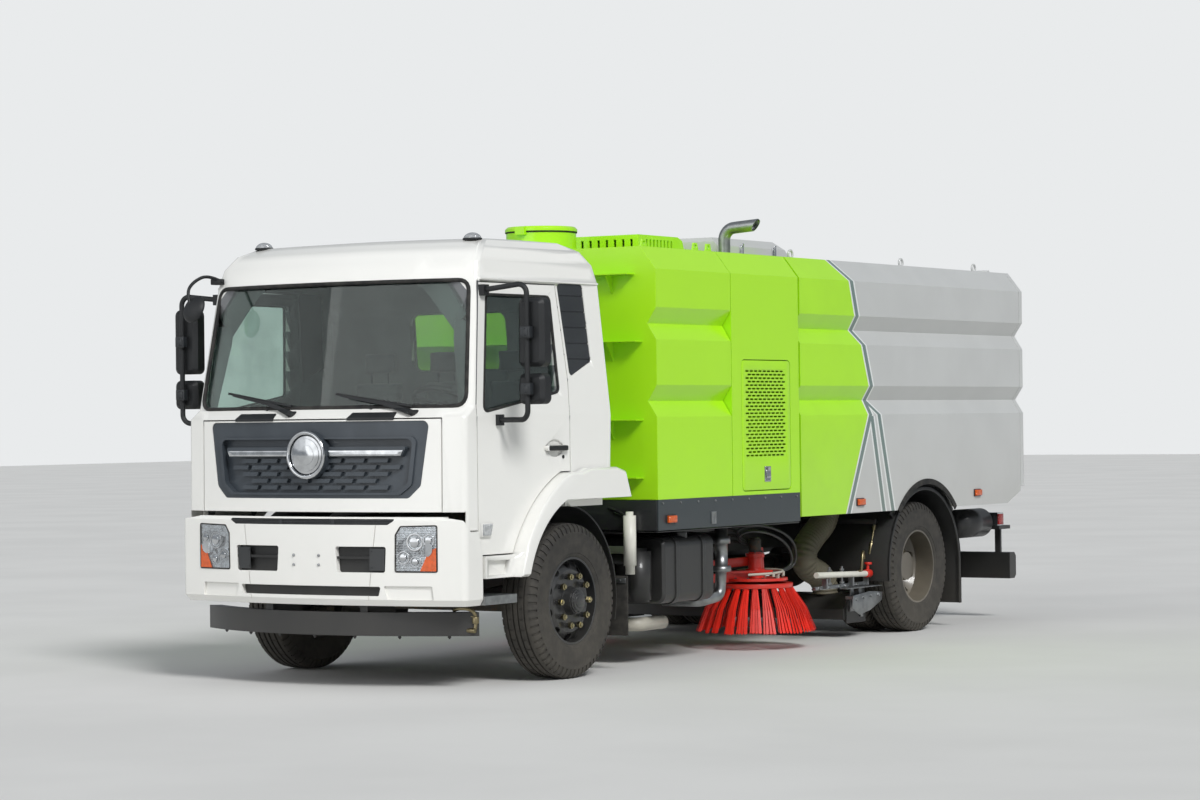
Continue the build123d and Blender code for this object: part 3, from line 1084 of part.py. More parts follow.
# Hopper: hollow, with a trough between the wheels, wheel pockets and arches
with BuildPart() as hopper:
    body_end = HOPPER_REAR - TAIL_DOOR_WALL - 6
    add(prism_across(body_outline(HOPPER_BOTTOM), HOPPER_FRONT, body_end))
    inner = [(x * (BODY_HALF - HOPPER_WALL) / BODY_HALF, min(z, ROOF - HOPPER_WALL))
             for x, z in body_outline(HOPPER_TANK_FLOOR + 40)]
    add(prism_across(inner, HOPPER_FRONT + HOPPER_WALL, body_end + 1), mode=Mode.SUBTRACT)
    trough = TROUGH_HALF - 20
    rise = (1088 - HOPPER_BOTTOM) / (HOPPER_REAR + 10 - 3706)
    inner_front = HOPPER_FRONT + HOPPER_WALL
    trough_side = [(inner_front, HOPPER_BOTTOM + 30), (3700, HOPPER_BOTTOM + 30),
                   (body_end + 1, HOPPER_BOTTOM + 30 + rise * (body_end + 1 - 3700)),
                   (body_end + 1, HOPPER_TANK_FLOOR + 60), (inner_front, HOPPER_TANK_FLOOR + 60)]
    add(prism_side(trough_side, -trough, trough), mode=Mode.SUBTRACT)
    for _, side in SIDES:
        low, high = sorted((side * TROUGH_HALF, side * (BODY_HALF - HOPPER_WALL)))
        block((low, inner_front, HOPPER_BOTTOM - 1), (high, body_end - 40, HOPPER_TANK_FLOOR),
              mode=Mode.SUBTRACT)
        low, high = sorted((side * (TROUGH_HALF + 1), side * (BODY_HALF + 50)))
        add(arch_tool(ARCH_REAR, low, high, REAR_AXLE_Y), mode=Mode.SUBTRACT)
    chamfer_cut = [(3706, HOPPER_BOTTOM - 1), (HOPPER_REAR + 10, 1088), (HOPPER_REAR + 10, HOPPER_BOTTOM - 1)]
    add(prism_side(chamfer_cut, -1300, 1300), mode=Mode.SUBTRACT)
    for side in (-1, 1):
        low, high = span(side, RAIL_OUTER + TIP_LUG_GAP, RAIL_OUTER + TIP_LUG_GAP + TIP_LUG_WALL)
        block((low, TIP_PIVOT_Y - 60, TIP_PIVOT_Z - 55), (high, TIP_PIVOT_Y + 60, HOPPER_BOTTOM + 1))
        rod((low, TIP_PIVOT_Y, TIP_PIVOT_Z), (high, TIP_PIVOT_Y, TIP_PIVOT_Z), TIP_PIN_RADIUS + RUNNING_GAP,
            mode=Mode.SUBTRACT)
        low, high = sorted((side * (RAM_X - 58), side * (RAM_X - 28)))
        block((low, RAM_EYE[0] - 40, RAM_EYE[1] - 40), (high, RAM_EYE[0] + 40, HOPPER_BOTTOM + 1))
finish("hopper", hopper.part)
with BuildPart() as tail_door:
    add(prism_across(body_outline(TAIL_DOOR_BOTTOM), HOPPER_REAR - TAIL_DOOR_WALL, HOPPER_REAR))
finish("tail_door", tail_door.part)

# Low box on the hopper's roof
BOX_HALF = 550.0
BOX_Y = (HOPPER_FRONT + 10, 1315.0)
BOX_HEIGHT = 170.0
with BuildPart() as fan_box:
    box_side = [(BOX_Y[0], ROOF), (BOX_Y[0], ROOF + BOX_HEIGHT - 30), (BOX_Y[0] + 30, ROOF + BOX_HEIGHT),
                (BOX_Y[1] - 160, ROOF + BOX_HEIGHT), (BOX_Y[1], ROOF + 60), (BOX_Y[1], ROOF)]
    box_form = prism_side(box_side, -BOX_HALF, BOX_HALF)
    slope_side = [(BOX_HALF - 60, ROOF + BOX_HEIGHT + 1), (BOX_HALF, ROOF + BOX_HEIGHT - 60),
                  (BOX_HALF + 1, ROOF - 1)]
    crown = mirrored(slope_side[::-1]) + slope_side
    add(box_form & prism_across(crown, *BOX_Y))
finish("fan_box", fan_box.part)

# Tipping cylinders
ram_along = Vector(0, RAM_EYE[0] - RAM_BASE[0], RAM_EYE[1] - RAM_BASE[1]).normalized()
ram_length = Vector(0, RAM_EYE[0] - RAM_BASE[0], RAM_EYE[1] - RAM_BASE[1]).length
ROD_CLEAR = 0.5


def on_ram(x, distance):
    return (x, RAM_BASE[0] + ram_along.Y * distance, RAM_BASE[1] + ram_along.Z * distance)


with BuildPart() as tip_barrels:
    for x in (-RAM_X, RAM_X):
        rod(on_ram(x, 30), on_ram(x, ram_length - 120), RAM_RADIUS)
        rod((x - 32, *RAM_BASE), (x + 32, *RAM_BASE), RAM_RADIUS)
        rod(on_ram(x, 50), on_ram(x, ram_length - 119), RAM_ROD_RADIUS + ROD_CLEAR, mode=Mode.SUBTRACT)
        rod((x - 50, *RAM_BASE), (x + 50, *RAM_BASE), RAM_PIN_RADIUS + RUNNING_GAP, mode=Mode.SUBTRACT)
finish("tip_barrels", tip_barrels.part)
with BuildPart() as tip_rods:
    for x in (-RAM_X, RAM_X):
        rod(on_ram(x, 60), on_ram(x, ram_length - 15), RAM_ROD_RADIUS)
        rod((x - 22, *on_ram(x, ram_length)[1:]), (x + 22, *on_ram(x, ram_length)[1:]), 35)
finish("tip_rods", tip_rods.part)

# Rear mudguards: thin arcs before and behind the twin wheels, with hanging flaps
GUARD_RADIUS = 620.0
GUARD_IN = 600.0
GUARD_OUT = 1190.0
FLAP_Y = REAR_AXLE_Y + GUARD_RADIUS
with BuildPart() as rear_mudguards:
    for _, side in SIDES:
        x0, x1 = span(side, GUARD_IN, GUARD_OUT)
        ring = arch_tool(GUARD_RADIUS + GUARD_WALL, x0, x1, REAR_AXLE_Y)
        ring = ring - arch_tool(GUARD_RADIUS, x0, x1, REAR_AXLE_Y)
        guard_top = 1020.0
        before = [(REAR_AXLE_Y - 700, 420), (REAR_AXLE_Y - 700, guard_top), (REAR_AXLE_Y, guard_top),
                  (REAR_AXLE_Y, 420)]
        behind = [(REAR_AXLE_Y, 500), (REAR_AXLE_Y, guard_top), (REAR_AXLE_Y + 700, guard_top),
                  (REAR_AXLE_Y + 700, 500)]
        add(ring & prism_side(before, x0, x1))
        add(ring & prism_side(behind, x0, x1))
        block((x0, FLAP_Y, 190), (x1, FLAP_Y + GUARD_WALL, 520))
        for y in (REAR_AXLE_Y - 600, REAR_AXLE_Y + 560):
            side_block(side, (RAIL_OUTER, y, 740), (GUARD_IN + 60, y + 40, 780))
finish("rear_mudguards", rear_mudguards.part)

# Under-run beam with a recess in its rear face, its struts and the lamp brackets
UNDERRUN_HALF = 1147.0
with BuildPart() as underrun:
    beam = [(3960, 330), (3960, 547), (4050, 547), (4080, 517), (4080, 360), (4050, 330)]
    add(prism_side(beam, -UNDERRUN_HALF, UNDERRUN_HALF))
    recess = [(4060, 372), (4060, 486), (4090, 486), (4090, 372)]
    add(prism_side(recess, -UNDERRUN_HALF + 60, UNDERRUN_HALF - 60), mode=Mode.SUBTRACT)
    for x in (-390, 390):
        strut = [(3560, 600), (3960, 450), (3960, 540), (3640, 690), (3560, 690)]
        add(prism_side(strut, x - 30, x + 30))
    for _, side in SIDES:
        side_block(side, (1010, 3965, 540), (1060, 3990, 750))
        side_block(side, (800, REAR_LAMP[0][1] - 10, REAR_LAMP[0][2] - 30), (1140, 3990, REAR_LAMP[0][2]))
finish("underrun", underrun.part)

# Side brushes: trailing arm with its bracket, head post and cover, and a disc with splayed tufts
DISC_WALL = 32.0
COVER_Z = (BRUSH_DISC_Z + 50.0, BRUSH_DISC_Z + 70.0)
COVER_RADIUS = 240.0
TUFT_ROOT = (22.0, 44.0)
TUFT_TIP = (46.0, 92.0)
for name, side in SIDES:
    pivot = (side * ARM_PIVOT[0], ARM_PIVOT[1])
    head = (side * BRUSH_X, BRUSH_Y)
    heading = (head[0] - pivot[0], head[1] - pivot[1], 0)
    arm_plane = Plane(origin=(*pivot, ARM_Z), x_dir=heading, z_dir=(0, 0, 1))
    reach = math.dist(pivot, head)
    with BuildPart() as brush_arm:
        rod((*pivot, ARM_Z - 80), (*pivot, ARM_Z + 80), 48)
        with BuildSketch(arm_plane.offset(-ARM_DEPTH / 2)):
            with Locations((reach / 2, 0)):
                Rectangle(reach, ARM_WIDTH)
        extrude(amount=ARM_DEPTH)
        with BuildSketch(arm_plane.offset(ARM_DEPTH / 2)):
            with BuildLine():
                Polyline((reach - 260, -28), (reach - 60, -95), (reach + 95, -95), (reach + 95, 95),
                         (reach - 60, 95), (reach - 260, 28), close=True)
            make_face()
        extrude(amount=18)
        rod((*head, COVER_Z[0]), (*head, COVER_Z[1]), COVER_RADIUS)
        rod((*head, COVER_Z[0]), (*head, ARM_Z + 60), 72)
        rod((*head, ARM_Z + 50), (*head, BRUSH_POST_TOP), 52)
        rod((*head, BRUSH_POST_TOP - 40), (*head, BRUSH_POST_TOP - 10), 70)
        bore = PIVOT_PIN_RADIUS + RUNNING_GAP
        rod((*pivot, ARM_Z - 90), (*pivot, ARM_Z + 90), bore, mode=Mode.SUBTRACT)
        rod((*head, ARM_Z - ARM_DEPTH), (*head, ARM_Z + 70), bore, mode=Mode.SUBTRACT)
    finish(f"brush_arm_{name}", brush_arm.part)
    with BuildPart() as brush:
        rod((*head, BRUSH_DISC_Z), (*head, BRUSH_DISC_Z + DISC_WALL), BRUSH_DISC_RADIUS)
        rod((*head, BRUSH_DISC_Z + DISC_WALL - 1), (*head, ARM_Z + 60), PIVOT_PIN_RADIUS)
        for index in range(TUFTS):
            turn = Plane(origin=(*head, 0), z_dir=(0, 0, 1)).rotated((0, 0, 360 * index / TUFTS))
            root_plane = Plane(origin=turn.from_local_coords((248, 0, BRUSH_DISC_Z + 1)), x_dir=turn.x_dir)
            tip_reach = BRUSH_TIP_RADIUS - TUFT_TIP[0] / 2
            tip_plane = Plane(origin=turn.from_local_coords((tip_reach, 0, BRUSH_TIP_Z)), x_dir=turn.x_dir)
            with BuildSketch(root_plane) as root:
                Rectangle(*TUFT_ROOT)
            with BuildSketch(tip_plane) as tip:
                Rectangle(*TUFT_TIP)
            loft([tip.sketch, root.sketch], ruled=True)
    finish(f"brush_{name}", brush.part)

# Suction nozzle on its trailing arms, with the hose that rises from it
with BuildPart() as nozzle:
    mouth = [(NOZZLE_FRONT, NOZZLE_BOTTOM), (NOZZLE_FRONT, 220), (NOZZLE_FRONT + 80, NOZZLE_TOP),
             (NOZZLE_REAR - 40, NOZZLE_TOP), (NOZZLE_REAR, 240), (NOZZLE_REAR, NOZZLE_BOTTOM)]
    add(prism_side(mouth, -NOZZLE_HALF, NOZZLE_HALF))
    inside = [(NOZZLE_FRONT + 20, NOZZLE_BOTTOM - 1), (NOZZLE_FRONT + 20, 215),
              (NOZZLE_FRONT + 85, NOZZLE_TOP - 20), (NOZZLE_REAR - 48, NOZZLE_TOP - 20),
              (NOZZLE_REAR - 20, 236), (NOZZLE_REAR - 20, NOZZLE_BOTTOM - 1)]
    add(prism_side(inside, -NOZZLE_HALF + 20, NOZZLE_HALF - 20), mode=Mode.SUBTRACT)
    for _, side in SIDES:
        plate = [(NOZZLE_FRONT + 30, NOZZLE_BOTTOM - 30), (NOZZLE_FRONT + 30, NOZZLE_BOTTOM + 150),
                 (NOZZLE_FRONT + 110, NOZZLE_TOP + 20), (NOZZLE_REAR - 60, NOZZLE_TOP + 20),
                 (NOZZLE_REAR - 10, NOZZLE_BOTTOM + 120), (NOZZLE_REAR - 10, NOZZLE_BOTTOM - 30)]
        add(prism_side(plate, *span(side, NOZZLE_HALF - 1, NOZZLE_HALF + 11)))
        rod((side * (NOZZLE_HALF - 40), NOZZLE_FRONT + 175, NOZZLE_TOP - 5),
            (side * (NOZZLE_HALF - 115), NOZZLE_FRONT + 175, NOZZLE_TOP - 5), 22)
    for x in (-300, 300):
        rod((x, NOZZLE_PIVOT_Y, NOZZLE_PIVOT_Z), (x, NOZZLE_FRONT + 120, NOZZLE_TOP - 5), 22)
        rod((x - 40, NOZZLE_PIVOT_Y, NOZZLE_PIVOT_Z), (x + 40, NOZZLE_PIVOT_Y, NOZZLE_PIVOT_Z), 30)
        rod((x - 41, NOZZLE_PIVOT_Y, NOZZLE_PIVOT_Z), (x + 41, NOZZLE_PIVOT_Y, NOZZLE_PIVOT_Z),
            15 + RUNNING_GAP, mode=Mode.SUBTRACT)
finish("nozzle", nozzle.part)
with BuildPart() as suction_hose:
    with BuildLine() as hose_line:
        FilletPolyline((HOSE_X, 1440, NOZZLE_TOP), (HOSE_X, 1440, 440),
                       (HOSE_X, 1180, 580), (HOSE_X, 1180, 800),
                       (HOSE_X, 1500, 1000), (HOSE_X, 1500, HOPPER_TANK_FLOOR - 8), radius=HOSE_BEND)
    with BuildSketch(Plane(origin=(HOSE_X, 1440, NOZZLE_TOP), z_dir=(0, 0, 1))):
        Circle(HOSE_RADIUS)
    sweep(path=hose_line.wires()[0])
finish("suction_hose", suction_hose.part)
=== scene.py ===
"""Dress of a street sweeper truck: the CAD frame's nodes get their finishes and the fine pieces are added."""

import math

import bmesh
import bpy
from bpy.props import FloatProperty, FloatVectorProperty, IntProperty
from mathutils import Matrix, Vector


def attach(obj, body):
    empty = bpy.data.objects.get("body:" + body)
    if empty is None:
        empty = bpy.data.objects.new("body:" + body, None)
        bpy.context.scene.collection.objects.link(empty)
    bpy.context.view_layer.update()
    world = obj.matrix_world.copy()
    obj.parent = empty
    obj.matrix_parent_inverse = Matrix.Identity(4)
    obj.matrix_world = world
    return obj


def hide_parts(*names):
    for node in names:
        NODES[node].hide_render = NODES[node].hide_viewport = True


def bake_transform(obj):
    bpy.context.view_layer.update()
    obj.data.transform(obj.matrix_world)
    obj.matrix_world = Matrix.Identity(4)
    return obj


bl_info = {
    "name": "Street Sweeper Truck",
    "version": (1, 0, 0),
    "blender": (4, 5, 0),
    "location": "View3D > Sidebar > Sweeper",
    "description": "Finishes and fine pieces of a two-axle street sweeper truck",
    "category": "Object",
}

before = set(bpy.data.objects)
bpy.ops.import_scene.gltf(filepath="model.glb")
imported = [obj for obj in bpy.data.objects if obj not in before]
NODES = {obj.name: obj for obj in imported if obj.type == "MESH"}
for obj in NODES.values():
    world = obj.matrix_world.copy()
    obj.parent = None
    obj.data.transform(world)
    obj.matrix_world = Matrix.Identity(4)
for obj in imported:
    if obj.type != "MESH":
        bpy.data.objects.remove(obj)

# Shared sizes, in metres, on the CAD frame
FRONT_AXLE_Y = -2.755
REAR_AXLE_Y = 2.245
AXLE_Z = 0.510
# Middle planes of the outer and the inner tyres
OUTER_PLANE = 1.040
INNER_PLANE = 0.735
ROOF_Z = 2.874
SIDES = (("left", 1.0), ("right", -1.0))


# Colours and materials

# Size of the enamel's orange peel, and how far the look of its sharp edges is rounded
PEEL = 0.003
ROUNDING = 0.006
# Scale of a drawn metal's noise along each axis
STREAK = (1.0, 1.0, 40.0)


def srgb(hex_code):
    """An sRGB hex value as the linear colour that Blender wants."""
    value = hex_code.lstrip("#")
    channels = [int(value[i:i + 2], 16) / 255.0 for i in (0, 2, 4)]
    linear = [c / 12.92 if c <= 0.04045 else ((c + 0.055) / 1.055) ** 2.4 for c in channels]
    return (*linear, 1.0)


def scaled(hex_code, factor, lift=0.0):
    """A linear colour made brighter or darker by a factor and a lift."""
    return (*(min(1.0, c * factor + lift) for c in srgb(hex_code)[:3]), 1.0)


# Colour of road dust
DUST = srgb("#8C8475")


def put(tree, kind, inputs=None, **settings):
    """Add one node with its settings; inputs gives each socket a value or the socket that feeds it."""
    made = tree.nodes.new(kind)
    for name, value in settings.items():
        setattr(made, name, value)
    for key, value in (inputs or {}).items():
        socket = made.inputs[key]
        if isinstance(value, bpy.types.NodeSocket):
            tree.links.new(value, socket)
        else:
            socket.default_value = value
    return made


def feed(node, key, value):
    """Link a socket into an input of a node."""
    node.id_data.links.new(value, node.inputs[key])


def begin_finish(name, **shader):
    """A new material: its tree, its shader with plain values, and the piece's own coordinates."""
    material = bpy.data.materials.new(name)
    material.use_nodes = True
    tree = material.node_tree
    tree.nodes.clear()
    skin = put(tree, "ShaderNodeBsdfPrincipled", {key.replace("_", " "): value for key, value in shader.items()})
    put(tree, "ShaderNodeOutputMaterial", {"Surface": skin.outputs["BSDF"]})
    place = put(tree, "ShaderNodeTexCoord").outputs["Object"]
    return material, tree, skin, place


def ramp(tree, value, low, high):
    """0 below low, 1 above high, and smooth between."""
    return put(tree, "ShaderNodeMapRange", {"Value": value, "From Min": low, "From Max": high},
               interpolation_type="SMOOTHSTEP").outputs["Result"]


def maths(tree, operation, first, second=0.5):
    """One sum on two values or sockets."""
    return put(tree, "ShaderNodeMath", {0: first, 1: second}, operation=operation).outputs[0]


def tint(tree, share, first, second):
    """The first colour where share is 0, the second where it is 1."""
    return put(tree, "ShaderNodeMix", {0: share, 6: first, 7: second}, data_type="RGBA").outputs[2]


def mottle(tree, place, size, detail=3.0):
    """Cloudy noise whose spots are about size metres across."""
    return put(tree, "ShaderNodeTexNoise", {"Vector": place, "Scale": 1.0 / size, "Detail": detail}).outputs["Fac"]


def patches(tree, place, size, detail, span, first, second):
    """Two colours in cloudy patches; span is where the noise goes from the first to the second."""
    return tint(tree, ramp(tree, mottle(tree, place, size, detail), *span), first, second)


def bump(tree, skin, height, depth, rounding=0.0):
    """Raise the surface by a height from 0 to 1, depth metres tall; rounding softens the look of sharp edges."""
    made = put(tree, "ShaderNodeBump", {"Height": height, "Distance": depth, "Strength": 1.0})
    if rounding:
        rounded = put(tree, "ShaderNodeBevel", {"Radius": rounding}, samples=4)
        feed(made, "Normal", rounded.outputs["Normal"])
    feed(skin, "Normal", made.outputs["Normal"])


def coat(tree, skin, place, clean, most, low=0.25, high=1.15):
    """Colour the shader, with road dust: thick near the ground, gone at height high, and broken up by noise."""
    height = put(tree, "ShaderNodeSeparateXYZ", {0: place}).outputs["Z"]
    near_ground = put(tree, "ShaderNodeMapRange", {"Value": height, "From Min": low, "From Max": high,
                                                   "To Min": most, "To Max": 0.0}).outputs["Result"]
    patchy = put(tree, "ShaderNodeMapRange", {"Value": mottle(tree, place, 0.3, 4.0), "From Min": 0.3, "From Max": 0.7,
                                              "To Min": 0.55, "To Max": 1.0}).outputs["Result"]
    feed(skin, "Base Color", tint(tree, maths(tree, "MULTIPLY", near_ground, patchy), clean, DUST))


def worn(tree, skin, noise, low, high):
    """Let noise move the roughness between two values."""
    feed(skin, "Roughness", put(tree, "ShaderNodeMapRange", {"Value": noise, "To Min": low,
                                                             "To Max": high}).outputs["Result"])


def sprayed_enamel(name, hex_code, roughness, dust):
    """Alkyd enamel sprayed on sheet steel: glossy, with faint orange peel and road dust low down."""
    material, tree, skin, place = begin_finish(name, Roughness=roughness, Coat_Weight=0.35, Coat_Roughness=0.12)
    coat(tree, skin, place, patches(tree, place, 0.45, 3.0, (0.3, 0.7), srgb(hex_code), scaled(hex_code, 0.985)), dust)
    worn(tree, skin, mottle(tree, place, 0.15), roughness * 0.94, roughness * 1.08)
    bump(tree, skin, mottle(tree, place, PEEL, 1.0), 0.00003, ROUNDING)
    return material


# Stripe on the hopper: corner points of the line between green and grey, as (height, distance back)
EDGE_LINE = ((2.874, 0.868), (2.716, 1.012), (2.454, 1.098), (2.347, 1.118), (2.235, 1.200), (1.925, 1.318),
             (1.818, 1.330), (1.708, 1.300), (0.955, 0.922))
SECOND_LINE = ((2.874, 0.868), (2.716, 1.012), (2.454, 1.098), (2.347, 1.118), (2.235, 1.200), (1.925, 1.318),
               (1.818, 1.330), (1.708, 1.436), (0.955, 1.655))
INNER_LINE = ((2.874, 7.0), (1.714, 7.0), (1.700, 1.317), (0.955, 1.505))
STRIPE_HALF = 0.026
PINSTRIPE = 0.020
BODY_LOW = 0.955
BODY_SPAN = ROOF_Z - BODY_LOW
# A curve node works from 0 to 1, so distances back are divided by this
LINE_SCALE = 8.0


def ramp_straight(tree, height):
    """A height on the body as a share of its whole height."""
    share = put(tree, "ShaderNodeMapRange", {"Value": height, "From Min": BODY_LOW, "From Max": ROOF_Z})
    return share.outputs["Result"]


def line_place(tree, height, corners):
    """How far back a line of corner points runs at each height."""
    curve = put(tree, "ShaderNodeFloatCurve", {"Value": ramp_straight(tree, height)})
    points = curve.mapping.curves[0].points
    wanted = sorted(((z - BODY_LOW) / BODY_SPAN, y / LINE_SCALE) for z, y in corners)
    points[0].location = wanted[0]
    points[1].location = wanted[-1]
    for spot in wanted[1:-1]:
        points.new(*spot)
    for point in points:
        point.handle_type = "VECTOR"
    curve.mapping.update()
    return maths(tree, "MULTIPLY", curve.outputs[0], LINE_SCALE)


def striped_enamel(name, green, grey, dark, white):
    """The body's two enamels, with masked dark lines between white pinstripes."""
    material, tree, skin, place = begin_finish(name, Roughness=0.3, Coat_Weight=0.35, Coat_Roughness=0.12)
    parts = put(tree, "ShaderNodeSeparateXYZ", {0: place})
    height, back = parts.outputs["Z"], parts.outputs["Y"]
    clouds = ramp(tree, mottle(tree, place, 0.45), 0.3, 0.7)
    green_coat = tint(tree, clouds, srgb(green), scaled(green, 0.95))
    grey_coat = tint(tree, clouds, srgb(grey), scaled(grey, 0.95))
    edge = line_place(tree, height, EDGE_LINE)
    past_edge = maths(tree, "GREATER_THAN", maths(tree, "SUBTRACT", back, edge), -STRIPE_HALF - PINSTRIPE)
    colour = tint(tree, past_edge, green_coat, grey_coat)
    for half_width, stripe in ((STRIPE_HALF + PINSTRIPE, white), (STRIPE_HALF, dark)):
        for corners in (SECOND_LINE, EDGE_LINE, INNER_LINE):
            off_line = maths(tree, "ABSOLUTE", maths(tree, "SUBTRACT", back, line_place(tree, height, corners)))
            colour = tint(tree, maths(tree, "LESS_THAN", off_line, half_width), colour, srgb(stripe))
    coat(tree, skin, place, colour, 0.25, low=0.6, high=1.7)
    bump(tree, skin, mottle(tree, place, PEEL, 1.0), 0.00006)
    return material


def moulded_plastic(name, hex_code, roughness=0.55, grain=0.0012, depth=0.00012, *, dust):
    """ABS or polypropylene moulded in a grained tool: dull, with a fine leather-like grain."""
    material, tree, skin, place = begin_finish(name, Roughness=roughness)
    base = patches(tree, place, 0.2, 3.0, (0.3, 0.8), srgb(hex_code), scaled(hex_code, 1.25, 0.004))
    coat(tree, skin, place, base, dust)
    cells = put(tree, "ShaderNodeTexVoronoi", {"Vector": place, "Scale": 1.0 / grain}).outputs["Distance"]
    bump(tree, skin, cells, depth)
    return material


def brushed_metal(name, hex_code, roughness):
    """Bare or galvanised steel: metallic, with drawn streaks and dull spots."""
    material, tree, skin, place = begin_finish(name, Metallic=1.0)
    feed(skin, "Base Color", patches(tree, place, 0.06, 4.0, (0.25, 0.75), srgb(hex_code), scaled(hex_code, 0.7)))
    drawn = put(tree, "ShaderNodeMapping", {"Vector": place, "Scale": STREAK}).outputs["Vector"]
    worn(tree, skin, mottle(tree, drawn, 0.01), roughness * 0.7, roughness * 1.4)
    bump(tree, skin, mottle(tree, drawn, 0.004, 2.0), 0.00005)
    return material


def sand_cast(name, hex_code):
    """Cast iron as it comes from the sand: dark, pitted, and browned by the road."""
    material, tree, skin, place = begin_finish(name, Metallic=0.6, Roughness=0.62)
    coat(tree, skin, place, patches(tree, place, 0.03, 5.0, (0.52, 0.72), srgb(hex_code), srgb("#5A4030")), 0.4)
    bump(tree, skin, mottle(tree, place, 0.002, 4.0), 0.0004)
    return material


def vulcanised_rubber(name, hex_code, dust):
    """Carbon-black rubber: dull, greyed by dust, with a slight mould texture."""
    material, tree, skin, place = begin_finish(name, Roughness=0.78)
    base = patches(tree, place, 0.05, 4.0, (0.3, 0.75), srgb(hex_code), srgb("#34322F"))
    coat(tree, skin, place, base, dust, low=0.0, high=1.3)
    bump(tree, skin, mottle(tree, place, 0.0015, 3.0), 0.00025)
    return material


def float_glass(name, hex_code, tint_strength=0.86):
    """Tinted safety glass: clear to look through, and mirror-smooth."""
    material, tree, skin, place = begin_finish(name, Roughness=0.02, IOR=1.45, Transmission_Weight=1.0)
    film = patches(tree, place, 0.35, 2.0, (0.35, 0.7), srgb(hex_code), scaled(hex_code, tint_strength))
    feed(skin, "Base Color", film)
    return material


def lens_plastic(name, hex_code, ribs=0.008, transmission=0.6):
    """Polycarbonate or acrylic lens, ribbed inside to spread the light."""
    material, tree, skin, place = begin_finish(name, Roughness=0.08, IOR=1.58, Transmission_Weight=transmission,
                                               Coat_Weight=0.4)
    feed(skin, "Base Color", patches(tree, place, 0.02, 2.0, (0.3, 0.8), srgb(hex_code), scaled(hex_code, 0.75)))
    wave = put(tree, "ShaderNodeTexWave", {"Vector": place, "Scale": 0.32 / ribs}, bands_direction="Z")
    bump(tree, skin, wave.outputs["Fac"], 0.0008)
    return material


def woven_cloth(name, hex_code, thread=0.003):
    """Flat-woven seat cloth: rough, with a soft sheen and threads about 3 mm apart."""
    material, tree, skin, place = begin_finish(name, Roughness=0.85, Sheen_Weight=0.3)
    spots = put(tree, "ShaderNodeTexChecker", {"Vector": place, "Scale": 1.0 / thread, "Color1": srgb(hex_code),
                                               "Color2": scaled(hex_code, 1.5)})
    feed(skin, "Base Color", spots.outputs["Color"])
    bump(tree, skin, spots.outputs["Fac"], 0.0004)
    return material


# Modelling by hand


def clear_choice():
    """Object mode, with nothing chosen."""
    if bpy.context.object and bpy.context.object.mode != "OBJECT":
        to_object_mode()
    bpy.ops.object.select_all(action="DESELECT")


def choose(*pieces):
    """Choose only these pieces; the last one is active."""
    clear_choice()
    for piece in pieces:
        piece.select_set(True)
    bpy.context.view_layer.objects.active = pieces[-1]


def settle(piece):
    """Put the piece's place, turn and size into its mesh, with its origin at the world's."""
    choose(piece)
    bpy.ops.object.transform_apply(location=True, rotation=True, scale=True)


def to_edit_mode(kind, action):
    """Edit mode for faces or corners, with all or none of them chosen."""
    bpy.ops.object.mode_set(mode="EDIT")
    bpy.ops.mesh.select_mode(type=kind)
    bpy.ops.mesh.select_all(action=action)


def to_object_mode():
    """Leave edit mode."""
    bpy.ops.object.mode_set(mode="OBJECT")


def edit_whole(piece, *steps):
    """Run steps in edit mode on the whole of a piece."""
    choose(piece)
    bpy.ops.object.mode_set(mode="EDIT")
    bpy.ops.mesh.select_all(action="SELECT")
    for step in steps:
        step()
    to_object_mode()


def smooth(piece, degrees=None):
    """Shade a piece smooth, in full or up to an angle in degrees."""
    choose(piece)
    if degrees is None:
        bpy.ops.object.shade_smooth()
    else:
        bpy.ops.object.shade_smooth_by_angle(angle=math.radians(degrees))


def primitive(name, kind, **settings):
    """A new piece from one of Blender's own forms."""
    clear_choice()
    getattr(bpy.ops.mesh, f"primitive_{kind}_add")(**settings)
    piece = bpy.context.object
    piece.name = name
    return piece


def link_piece(name, data):
    """A new chosen piece from a mesh or curve."""
    piece = bpy.data.objects.new(name, data)
    bpy.context.collection.objects.link(piece)
    choose(piece)
    return piece


def remove(pieces):
    """Delete pieces that were only patterns for copies."""
    for piece in pieces:
        bpy.data.objects.remove(piece)


def outwards_normals():
    """Turn the chosen faces so that they look outwards."""
    bpy.ops.mesh.normals_make_consistent(inside=False)


def raw_piece(name, corners, edges, faces):
    """A piece from its corners and its edges or faces."""
    clear_choice()
    mesh = bpy.data.meshes.new(name)
    mesh.from_pydata(corners, edges, faces)
    return link_piece(name, mesh)


def mesh_piece(name, corners, faces):
    """A piece from its corners and faces, with its normals outwards."""
    piece = raw_piece(name, corners, [], faces)
    edit_whole(piece, outwards_normals)
    return piece


def start_box(name, low, high, edge=0.0, segments=2):
    """A box from one corner to the other, with its edges softened by a width if one is given."""
    piece = primitive(name, "cube", size=1.0, location=(Vector(low) + Vector(high)) / 2)
    piece.scale = Vector(high) - Vector(low)
    settle(piece)
    if edge:
        soften(piece, edge, segments)
    return piece


def start_drum(name, centre, radius, depth, axis, sides, edge=0.0):
    """A short cylinder about an axis of the vehicle, softened like a box."""
    turn = {"X": (0, math.pi / 2, 0), "Y": (math.pi / 2, 0, 0), "Z": (0, 0, 0)}[axis]
    piece = primitive(name, "cylinder", vertices=sides, radius=radius, depth=depth, location=centre, rotation=turn)
    settle(piece)
    if edge:
        soften(piece, edge)
    return piece


